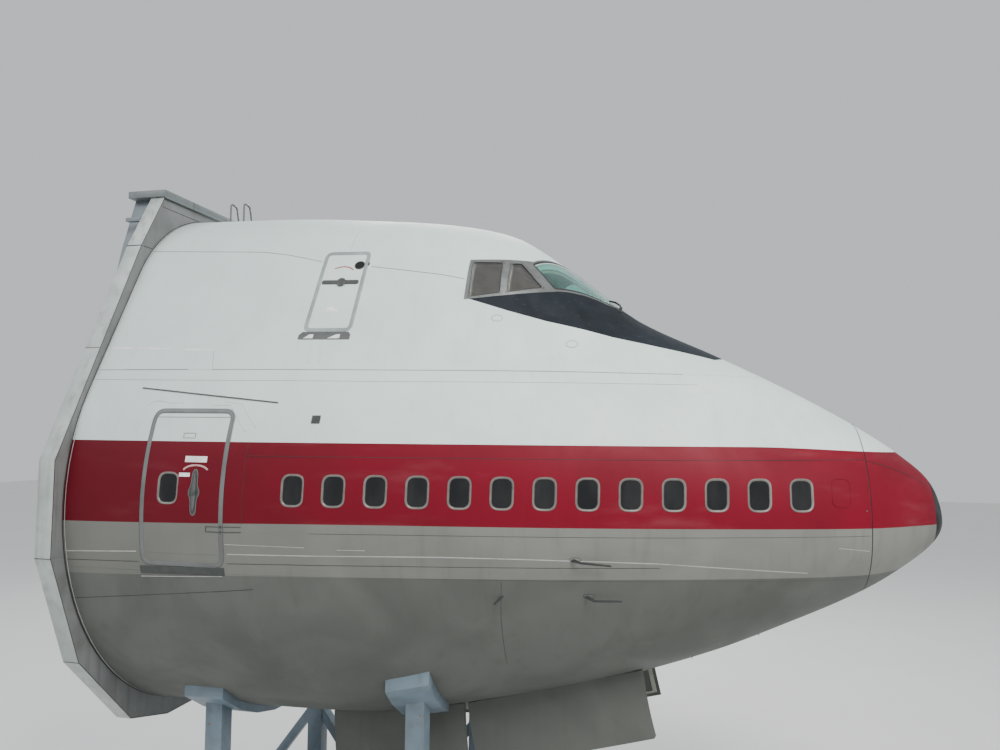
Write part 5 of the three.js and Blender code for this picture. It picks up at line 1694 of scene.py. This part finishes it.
        door = (doors.main_front + doors.main_rear) / 2
        past = np.abs((s - windows.first + pitch / 2) % pitch - pitch / 2)
        bad = within(door - 0.66, door + 0.66, 2.40, 4.62) | within(4.0, 6.35, 6.0, 9.0)
        bad |= within(3.9, 8.55, -1.0, 1.2) | (past < 0.17) & within(
            windows.first - 0.2, windows.first + pitch * windows.count, windows.height - 0.235,
            windows.height + 0.235)
        for hand, side in SIDES:
            mine = rows[~bad] if side > 0 else rows[~(bad | within(7.69, 8.45, 5.46, 6.82))]
            points = on_side(np.column_stack([mine, np.zeros(len(mine))]), side)
            fasteners(f"rivets_{hand}", points, skin_normals(points), rivet(0.0045, 0.0009), "livery",
                      smooth=50)


# The collar's outline on one side, by offset and height, and the bends of a rail on the crown
COLLAR = ((1.420, 7.855), (1.928, 6.984), (2.440, 5.909), (3.420, 3.850), (3.420, 2.600),
          (2.850, 1.150), (1.750, 0.060), (0.900, -0.150))
HOOP = ((0.0, 0.0), (0.0, 0.30), (0.008, 0.362), (0.055, 0.388), (0.140, 0.372), (0.190, 0.335), (0.285, 0.0))


def collar_line(inset):
    """Whole outline of the collar by offset and height, taken in by a distance."""
    return grown([*COLLAR, *((-y, z) for y, z in reversed(COLLAR))], -inset)


class NOSE_OT_collar(bpy.types.Operator):
    """Build the weather collar behind the cut, its coping and closure, and the rails on the crown"""
    bl_idname = "nose.collar"
    bl_label = "Collar"

    def execute(self, context):
        for node in ("collar_top", "collar_right", "collar_left", "collar_bottom"):
            refined(f"{node}_panel", node, "sheet")
        refined("rear_closure_panel", "rear_closure", "closure", bevel=0.006)
        refined("coping_cover", "coping", "coping", bevel=0.008)
        self.hoops()
        self.sheets()
        low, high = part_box("coping")
        joints = [box((high.x + 0.0045, y - 0.004, low.z - 0.020), (high.x + 0.0060, y + 0.004, high.z - 0.006))
                  for y in (-0.72, 0.72)]
        piece("coping_joints", joints, "seal")
        drip = box((high.x + 0.0005, low.y, low.z - 0.022), (high.x + 0.004, high.y, low.z + 0.020))
        piece("coping_drip", drip, "coping", bevel=0.001)
        ledges = [box(at(11.750, side * 1.560, 7.440), at(11.490, side * 1.640, 7.500)) for _, side in SIDES]
        piece("closure_ledges", ledges, "closure", bevel=0.004)
        self.battens()
        return {"FINISHED"}

    def sheets(self):
        """The collar's cover and seams, with the gasket and the band round the hull's edge."""
        back, front = (corner.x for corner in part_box("collar_right"))
        depth = front - back

        def band(*levels):
            return stacked(collar_line, levels,
                           lambda rows: [(front + out, y, BELLY + z) for y, z, out in rows], True)

        piece("collar_edge_seam", band((0.0, 0.0003), (0.0, 0.0014), (0.009, 0.0014), (0.009, 0.0003)), "umber")
        for name, ahead, inset, radius, sides, coat in (("hull_gasket", 0.014, -0.010, 0.004, 8, "seal"),
                                                        ("hull_edge_band", 0.040, -0.003, 0.005, 6, "frame")):
            line = [at(CUT - ahead, y, z) for y, z in ring(CUT - ahead, inset)]
            piece(name, tube(line, radius, sides, closed=True), coat, smooth=60)
        seams = []
        heights = [-z for _, z in COLLAR]
        for _, side in SIDES:
            for z, inner in ((7.690, 0.30), (6.984, float(half_breadth(CUT, 6.984)) + 0.030)):
                edge = np.interp(-z, heights, [y for y, _ in COLLAR]) - 0.050
                seams.append(box((front + 0.0003, side * inner, BELLY + z - 0.004),
                                 (front + 0.0022, side * edge, BELLY + z + 0.004)))
            for z in (6.984, 5.380, 2.600, 1.150):
                y = side * (np.interp(-z, heights, [y for y, _ in COLLAR]) + 0.0036)
                ends = [(front - inset, y, BELLY + z) for inset in (0.002, depth - 0.002)]
                seams.append(tube(ends, 0.0075 if z == 6.984 else 0.0045, 6))
        piece("collar_seams", seams, "seal", smooth=50)
        # The side cover is the collar's sheet in a lighter tone: painted light on its sides.
        cover = band((-0.0003, -0.002), (-0.0003, 0.002 - depth), (-0.0033, 0.002 - depth), (-0.0033, -0.002))
        piece("collar_side_cover", cover, "cover", bevel=0.001)

    def battens(self):
        """Flat bars bolted across the back of the closure, over the joints of its sheets."""
        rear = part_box("rear_closure")[0].x
        rim = sorted((v.co.z, abs(v.co.y)) for v in frame["nodes"]["rear_closure"].data.vertices
                     if v.co.x < rear + 0.001)
        bars, spots = [], []
        for z in np.arange(1.30, 7.60, 1.05) + BELLY:
            half = float(np.interp(z, *zip(*rim))) - 0.12
            bars.append(box((rear - 0.008, -half, z - 0.035), (rear - 0.0005, half, z + 0.035)))
            spots += [(rear - 0.008, y, z) for y in np.arange(-half + 0.10, half - 0.05, 0.30)]
        piece("closure_battens", bars, "closure", bevel=0.002)
        fasteners("closure_bolts", spots, [(-1, 0, 0)] * len(spots), bolt(0.016, 0.008), "steel", spin=ANY_TURN,
                  seed=13)

    def hoops(self):
        """The two bent rails that stand on the crown near the collar, with their round feet."""
        bars = []
        for s in (10.720, 10.970):
            top = float(section(s)[1])
            bars.append(tube(smooth_line([at(s, y, top + h) for y, h in HOOP]), 0.016))
            bars += [lathe(((0.030, 0.0), (0.030, 0.006), (0, 0.006), (0, 0.0)), at(s, y, top - 0.002), UP, 16)
                     for y in (HOOP[0][0], HOOP[-1][0])]
        piece("crown_rails", bars, "rail", smooth=45, stands_for=("crown_grab_rails",))


GEAR_STATION = 7.740
AXLE = (GEAR_STATION + 0.060, 0.620)
TRACK_HALF = 0.455


def mirrored(profile):
    """A lathe's profile followed by its own mirror image, which closes it."""
    return [*profile, *((r, -offset) for r, offset in reversed(profile))]


class NOSE_OT_wheels(bpy.types.Operator):
    """Build the two nose tyres with their grooves, and the wheels with their bolts"""
    bl_idname = "nose.wheels"
    bl_label = "Nose wheels"

    def execute(self, context):
        gear = context.scene.nose_gear
        radius, half, bead = gear.tyre_radius, gear.tyre_half, gear.rim_radius
        shoulder = smooth_line(((bead + 0.0015, 0.150), (bead + 0.012, 0.172), (0.335, 0.196), (0.430, half),
                                (0.530, 0.203), (0.592, 0.160), (radius - 0.006, 0.130), (radius, 0.112)))
        tread = []
        for i in range(gear.grooves):
            middle = 0.090 - 0.180 * i / max(gear.grooves - 1, 1)
            tread += [(radius, middle + 0.0075), (radius - 0.009, middle + 0.0055),
                      (radius - 0.009, middle - 0.0055), (radius, middle - 0.0075)]
        tyre = shoulder + tread + [(r, -offset) for r, offset in reversed(shoulder)]
        rim = mirrored(((gear.axle_radius + 0.001, 0.120), (0.100, 0.120), (0.110, 0.112), (0.114, 0.048),
                        (0.130, 0.036), (0.206, 0.036), (0.219, 0.044), (0.224, 0.140), (0.230, 0.149),
                        (0.256, 0.149), (bead, 0.143), (bead, 0.128), (0.246, 0.114)))
        hub = ((0.058, 0.1205), (0.098, 0.1205), (0.098, 0.130), (0.090, 0.138), (0.058, 0.140))
        for hand, side in SIDES:
            centre = Vector((NOSE_TIP - AXLE[0], side * TRACK_HALF, AXLE[1]))
            piece(f"nose_tyre_{hand}_tread", lathe(tyre, centre, (0, 1, 0), 96), "rubber", "nose_wheels",
                  (f"nose_tyre_{hand}",), 32)
            piece(f"nose_wheel_{hand}_rim", lathe(rim, centre, (0, 1, 0), 72), "alloy", "nose_wheels",
                  (f"nose_wheel_{hand}",))
            spots = [centre + Vector((0.165 * math.cos(a), side * 0.036, 0.165 * math.sin(a)))
                     for a in turns(gear.wheel_bolts)]
            fasteners(f"wheel_bolts_{hand}", spots, [(0, side, 0)] * len(spots), bolt(0.022, 0.020), "steel",
                      "nose_wheels", ANY_TURN, 9)
            piece(f"hub_ring_{hand}", lathe(hub, centre, (0, side, 0), 40), "gear", "nose_wheels")
            valve = [centre + Vector((0.0, side * y, z)) for y, z in ((0.037, 0.205), (0.085, 0.198))]
            piece(f"tyre_valve_{hand}", tube(valve, (0.006, 0.005), 8), "frame", "nose_wheels")
        return {"FINISHED"}


def leg_at(forward, offset, height):
    """World point near the nose leg: ahead of it, to the left, above the belly line."""
    return at(GEAR_STATION - forward, offset, height)


class NOSE_OT_gear_leg(bpy.types.Operator):
    """Build the nose leg, its brace and links, the taxi lamps and the pipes on them"""
    bl_idname = "nose.gear_leg"
    bl_label = "Nose leg"

    def execute(self, context):
        for node, body, slot, smooth in (("gear_outer_cylinder", "airframe", "gear_paint", 40),
                                         ("gear_drag_brace", "airframe", "gear_paint", 40),
                                         ("gear_piston_axle", "steered_leg", "polished_steel", 40),
                                         ("gear_torque_links", "steered_leg", "gear_paint", 35),
                                         ("taxi_lights", "airframe", "bare_steel", 40)):
            refined(f"{node}_body", node, "gear", body, smooth)
        sleeve = lathe(((0.0955, 0.0), (0.0955, 0.280), (0.0965, 0.280), (0.0965, 0.0)),
                       leg_at(0, 0, -1.015), UP)
        piece("piston_sleeve", sleeve, "chrome", "steered_leg", smooth=50)
        piece("leg_clamps", [lathe(((0.1505, z), (0.162, z + 0.004), (0.162, z + 0.026), (0.1505, z + 0.030)),
                                   leg_at(0, 0, 0), UP) for z in (-0.600, -0.300, 0.150)], "frame")
        spots, facings = [], []
        for z in (-0.585, 0.165):
            for a in turns(12):
                out = Vector((math.cos(a), math.sin(a), 0))
                spots.append(leg_at(0, 0, z) + out * 0.162)
                facings.append(tuple(out))
        fasteners("leg_clamp_bolts", spots, facings, bolt(0.014, 0.008), "steel")
        pipes = []
        for _, side in SIDES:
            for degrees in (58, 74):
                a = math.radians(degrees)
                out = Vector((-math.cos(a), side * math.sin(a), 0)) * 0.170
                path = [leg_at(0, 0, z) + out * f
                        for z, f in ((0.80, 1.0), (0.40, 1.0), (0.0, 1.02), (-0.35, 1.0), (-0.58, 1.0))]
                pipes.append(tube(smooth_line(path), 0.008, 8))
        piece("leg_pipes", pipes, "hose", smooth=60)
        bezel = ((0.082, 0.0003), (0.096, 0.0003), (0.096, 0.010), (0.090, 0.013), (0.082, 0.010))
        lens = ((0.081, 0.0005), (0.081, 0.006), (0.060, 0.010), (0.030, 0.012), (0, 0.0125), (0, 0.0005))
        for hand, side in SIDES:
            centre = leg_at(0.330, side * 0.250, -0.330)
            piece(f"lamp_bezel_{hand}", lathe(bezel, centre, (1, 0, 0), 40), "frame")
            piece(f"lamp_lens_{hand}", lathe(lens, centre, (1, 0, 0), 40), "lamp", smooth=60)
            pipe = smooth_line([leg_at(forward, side * y, z) for forward, y, z in (
                (0.235, 0.25, -0.33), (0.19, 0.24, -0.28), (0.175, 0.15, -0.24), (0.168, 0.05, -0.16))], 5)
            piece(f"lamp_pipe_{hand}", tube(pipe, 0.009, 8), "hose", smooth=60)
            nut = lathe(((0.0, 0.0), (0.046, 0.0), (0.046, 0.020), (0.036, 0.028), (0.0, 0.028)),
                        at(AXLE[0], side * 0.6003, AXLE[1] - BELLY), (0, side, 0), 6)
            piece(f"axle_nut_{hand}", nut, "steel", "steered_leg")
        return {"FINISHED"}


GEAR_DOORS = (
    {"name": "front", "front": 3.972, "rear": 6.400, "reach": 0.006, "open": 82, "cells": 6, "knuckles": 5},
    {"name": "rear", "front": 6.462, "rear": 8.440, "reach": 0.190, "open": 84, "cells": 5, "knuckles": 4},
)
DOOR_HINGE = 0.8854
DOOR_DEPTH = 0.075


class NOSE_OT_gear_doors(bpy.types.Operator):
    """Build the nose gear doors as they hang open, with stiffeners and hinges"""
    bl_idname = "nose.gear_doors"
    bl_label = "Gear doors"

    def execute(self, context):
        for door in GEAR_DOORS:
            for hand, side in SIDES:
                self.door(door, f"gear_door_{door['name']}_{hand}", side,
                          f"front_door_{hand}" if door["name"] == "front" else "airframe")
        return {"FINISHED"}

    def door(self, door, name, side, body):
        """One door's skin, the tray of stiffeners behind it and its hinge's knuckles."""
        ends = on_belly([(door["front"], side * DOOR_HINGE, 0), (door["rear"], side * DOOR_HINGE, 0)])
        hinge, axis = Vector(ends[0]), Vector(ends[0] - ends[1]).normalized()
        swing = Matrix.Translation(hinge) @ Matrix.Rotation(side * math.radians(door["open"]), 4, axis) \
            @ Matrix.Translation(-hinge)
        skin = shade_like_skin(self.panel(f"{name}_skin", door, side, 0.0, DOOR_DEPTH, 0.0))
        skin.data.transform(swing)
        dress(skin, "livery", body, (name,))
        tray = self.panel(f"{name}_stiffeners", door, side, DOOR_DEPTH + 0.0005, DOOR_DEPTH + 0.012, 0.050)
        cells = []
        span = (door["rear"] - door["front"] - 0.16) / door["cells"]
        for i in range(door["cells"]):
            s = door["front"] + 0.08 + span * i
            for near, far in ((0.08, 0.40), (0.45, 0.76)):
                if near > door["reach"]:
                    low = side * max(near, door["reach"] + 0.08)
                    cells.append(box(at(s + span - 0.03, low, -0.5), at(s + 0.03, side * far, 3.0)))
        carve(tray, merge(*cells)).data.transform(swing)
        dress(tray, "primer", body, smooth=30)
        knuckles = []
        for t in np.linspace(0.08, 0.92, door["knuckles"]):
            middle = Vector(ends[0] * (1 - t) + ends[1] * t) + Vector((0, 0, -0.026))
            knuckles.append(tube([middle + axis * 0.050, middle - axis * 0.050], 0.010))
        piece(f"{name}_hinges", knuckles, "steel", body)

    def panel(self, name, door, side, outer, inner, margin):
        """One door's closed form between two depths in the skin, a margin inside its edges."""
        made = hull_form(name, door["front"] - 0.2, door["rear"] + 0.2, 60, outer, inner)
        low = at(door["rear"] - margin, side * (door["reach"] + margin), -0.6)
        high = at(door["front"] + margin, side * (DOOR_HINGE - 0.010 - margin), 1.7)
        return carve(made, box(low, high), "INTERSECT")


class NOSE_OT_wheel_bay(bpy.types.Operator):
    """Build the wheel bay's walls, frames and pipes"""
    bl_idname = "nose.wheel_bay"
    bl_label = "Wheel bay"

    def execute(self, context):
        front, rear, half, roof = BAY["front"], BAY["rear"], BAY["half"], BAY["roof"]
        walls = as_object("wheel_bay_walls", box(at(rear + 0.02, -half - 0.02, -0.6),
                                                 at(front - 0.02, half + 0.02, roof + 0.02)))
        carve(walls, box(at(rear, -half, -1.0), at(front, half, roof)))
        carve(walls, hull_form("core", front - 0.5, rear + 0.5, 40, 0.092), "INTERSECT")
        dress(walls, "primer", smooth=30)
        ribs = []
        for s in np.arange(front + 0.30, rear - 0.2, 0.460):
            belly, _, width, widest, _ = (float(v) for v in section(s))
            low = widest - (widest - belly) * math.sqrt(1 - (half / width) ** 2) + 0.105
            ribs += [box(at(s + 0.022, side * (half - 0.028), low),
                         at(s - 0.022, side * (half - 0.0005), roof - 0.001)) for _, side in SIDES]
            ribs.append(box(at(s + 0.022, -half + 0.03, roof - 0.045),
                            at(s - 0.022, half - 0.03, roof - 0.0005)))
        piece("wheel_bay_frames", ribs, "primer", bevel=0.004)
        pipes = []
        for _, side in SIDES:
            for y, z, radius in ((0.80, 1.80, 0.011), (0.74, 1.82, 0.015), (0.66, 1.80, 0.011)):
                line = [at(front + 0.12, side * y, z), at(5.2, side * (y - 0.02), z - 0.01),
                        at(6.6, side * y, z), at(rear - 0.12, side * (y - 0.03), z - 0.02)]
                pipes.append(tube(smooth_line(line, 8), radius, 8))
        piece("wheel_bay_pipes", pipes, "frame", smooth=60)
        boxes = [box(at(7.05, side * 0.55, 1.55), at(6.70, side * 0.80, 1.74)) for _, side in SIDES]
        boxes.append(box(at(5.10, -0.35, 1.70), at(4.60, 0.20, 1.84)))
        piece("wheel_bay_boxes", boxes, "gear", bevel=0.010)
        return {"FINISHED"}


CRADLE = {"posts": (6.900, 9.900), "offset": 1.600, "crosses": (5.450, 9.300, 10.550)}


class NOSE_OT_cradle(bpy.types.Operator):
    """Build the steel cradle under the belly, with the bolts of its feet and cross beams"""
    bl_idname = "nose.cradle"
    bl_label = "Cradle"

    def execute(self, context):
        for node in sorted(n for n in frame["nodes"] if n.startswith("cradle_")):
            refined(f"{node}_steel", node, "cradle", bevel=0.006)
        beam_top = 0.300 - BELLY
        spots = []
        for _, side in SIDES:
            y = side * CRADLE["offset"]
            for s in CRADLE["posts"]:
                spots += [at(s + ds, y + dy, beam_top + 0.0125) for ds in (-0.1764, 0.1764)
                          for dy in (-0.12544, 0.12544)]
            for s in (CRADLE["crosses"][0] - 0.08, CRADLE["crosses"][-1] + 0.08):
                spots += [at(s, y - side * 0.10, beam_top), at(s, y + side * 0.10, beam_top)]
        fasteners("cradle_bolts", spots, [UP] * len(spots), bolt(0.034, 0.024), "steel", spin=ANY_TURN, seed=11)
        return {"FINISHED"}


class NOSE_OT_stage(bpy.types.Operator):
    """Lay a plain floor and set the lights and the camera"""
    bl_idname = "nose.stage"
    bl_label = "Stage"

    def execute(self, context):
        scene = context.scene
        settings = scene.nose_stage
        reach = 70.0
        corners = [(-reach, -reach, 0), (reach, -reach, 0), (reach, reach, 0), (-reach, reach, 0)]
        floor = as_object("floor", (corners, [(0, 1, 2, 3)]), repair=False)
        made, tree, shader = bare_material("floor_plain")
        tone = tuple(scene.nose_paint.floor)
        patches = fade(tree, noise(tree, 0.35, 4.0), 0.3, 0.7)
        feed(tree, shader, Base_Color=blend(tree, patches, tone, darker(tone, 0.975)),
             Roughness=fade(tree, noise(tree, 1.5, 4.0), 0.3, 0.7, 0.50, 0.62))
        floor.data.materials.append(made)
        world = bpy.data.worlds.new("studio")
        scene.world = world
        world.use_nodes = True
        world.node_tree.nodes["Background"].inputs["Color"].default_value = (0.86, 0.89, 0.92, 1.0)
        world.node_tree.nodes["Background"].inputs["Strength"].default_value = settings.sky
        for name, place, aim, share, tone in (
                ("key_light", (11.0, -15.0, 23.0), (0.0, 0.0, 5.0), 1.0, (1.0, 0.985, 0.96)),
                ("fill_light", (-13.0, -14.0, 20.0), (-1.0, 0.0, 5.0), 0.25, (0.95, 0.97, 1.0)),
                ("rim_light", (-6.0, 17.0, 18.0), (0.0, 0.0, 6.0), 0.6, (1.0, 1.0, 1.0))):
            data = bpy.data.lights.new(name, "AREA")
            data.size, data.energy, data.color = 10.0, settings.key * share, tone
            lamp = bpy.data.objects.new(name, data)
            lamp.location = place
            lamp.rotation_euler = (Vector(aim) - Vector(place)).to_track_quat("-Z", "Y").to_euler()
            scene.collection.objects.link(lamp)
        lens = bpy.data.cameras.new("camera")
        lens.lens, lens.sensor_width, lens.clip_end = settings.focal, 36.0, 300.0
        camera = bpy.data.objects.new("camera", lens)
        yaw, pitch, roll = settings.yaw, settings.pitch, settings.roll
        right = Vector((math.cos(yaw), math.sin(yaw), 0))
        ahead = Vector((-math.sin(yaw) * math.cos(pitch), math.cos(yaw) * math.cos(pitch), math.sin(pitch)))
        up = right.cross(ahead)
        x_axis = right * math.cos(roll) + up * math.sin(roll)
        y_axis = up * math.cos(roll) - right * math.sin(roll)
        turn = Matrix((x_axis, y_axis, -ahead)).transposed().to_4x4()
        place = at(settings.camera_station, settings.camera_offset, settings.camera_height)
        camera.matrix_world = Matrix.Translation(place) @ turn
        scene.collection.objects.link(camera)
        scene.camera = camera
        return {"FINISHED"}


OPERATORS = (NOSE_OT_hull, NOSE_OT_windows, NOSE_OT_doors, NOSE_OT_glazing, NOSE_OT_flight_deck, NOSE_OT_radome,
             NOSE_OT_skin_details, NOSE_OT_collar, NOSE_OT_wheel_bay, NOSE_OT_gear_leg, NOSE_OT_wheels,
             NOSE_OT_gear_doors, NOSE_OT_cradle, NOSE_OT_stage)
SETTINGS = (("nose_hull", HullSizes), ("nose_windows", WindowSizes), ("nose_doors", DoorSizes),
            ("nose_gear", GearSizes), ("nose_paint", PaintColours), ("nose_stage", StageSettings))


class NOSE_PT_panel(bpy.types.Panel):
    """Lists every step of the nose section and the sizes and colours to change"""
    bl_idname = "NOSE_PT_panel"
    bl_label = "Nose section"
    bl_space_type = "VIEW_3D"
    bl_region_type = "UI"
    bl_category = "Nose section"

    def draw(self, context):
        layout = self.layout
        for operator in OPERATORS:
            layout.operator(operator.bl_idname)
        for name, kind in SETTINGS:
            column = layout.box().column()
            column.label(text=name.removeprefix("nose_").capitalize())
            for key in kind.__annotations__:
                column.prop(getattr(context.scene, name), key)


def register():
    for name, kind in SETTINGS:
        bpy.utils.register_class(kind)
        setattr(bpy.types.Scene, name, PointerProperty(type=kind))
    for kind in (*OPERATORS, NOSE_PT_panel):
        bpy.utils.register_class(kind)


def unregister():
    for kind in reversed((*OPERATORS, NOSE_PT_panel)):
        bpy.utils.unregister_class(kind)
    for name, kind in reversed(SETTINGS):
        delattr(bpy.types.Scene, name)
        bpy.utils.unregister_class(kind)


def main():
    register()
    for operator in OPERATORS:
        getattr(bpy.ops.nose, operator.bl_idname.split(".")[1])()


if __name__ == "__main__":
    main()
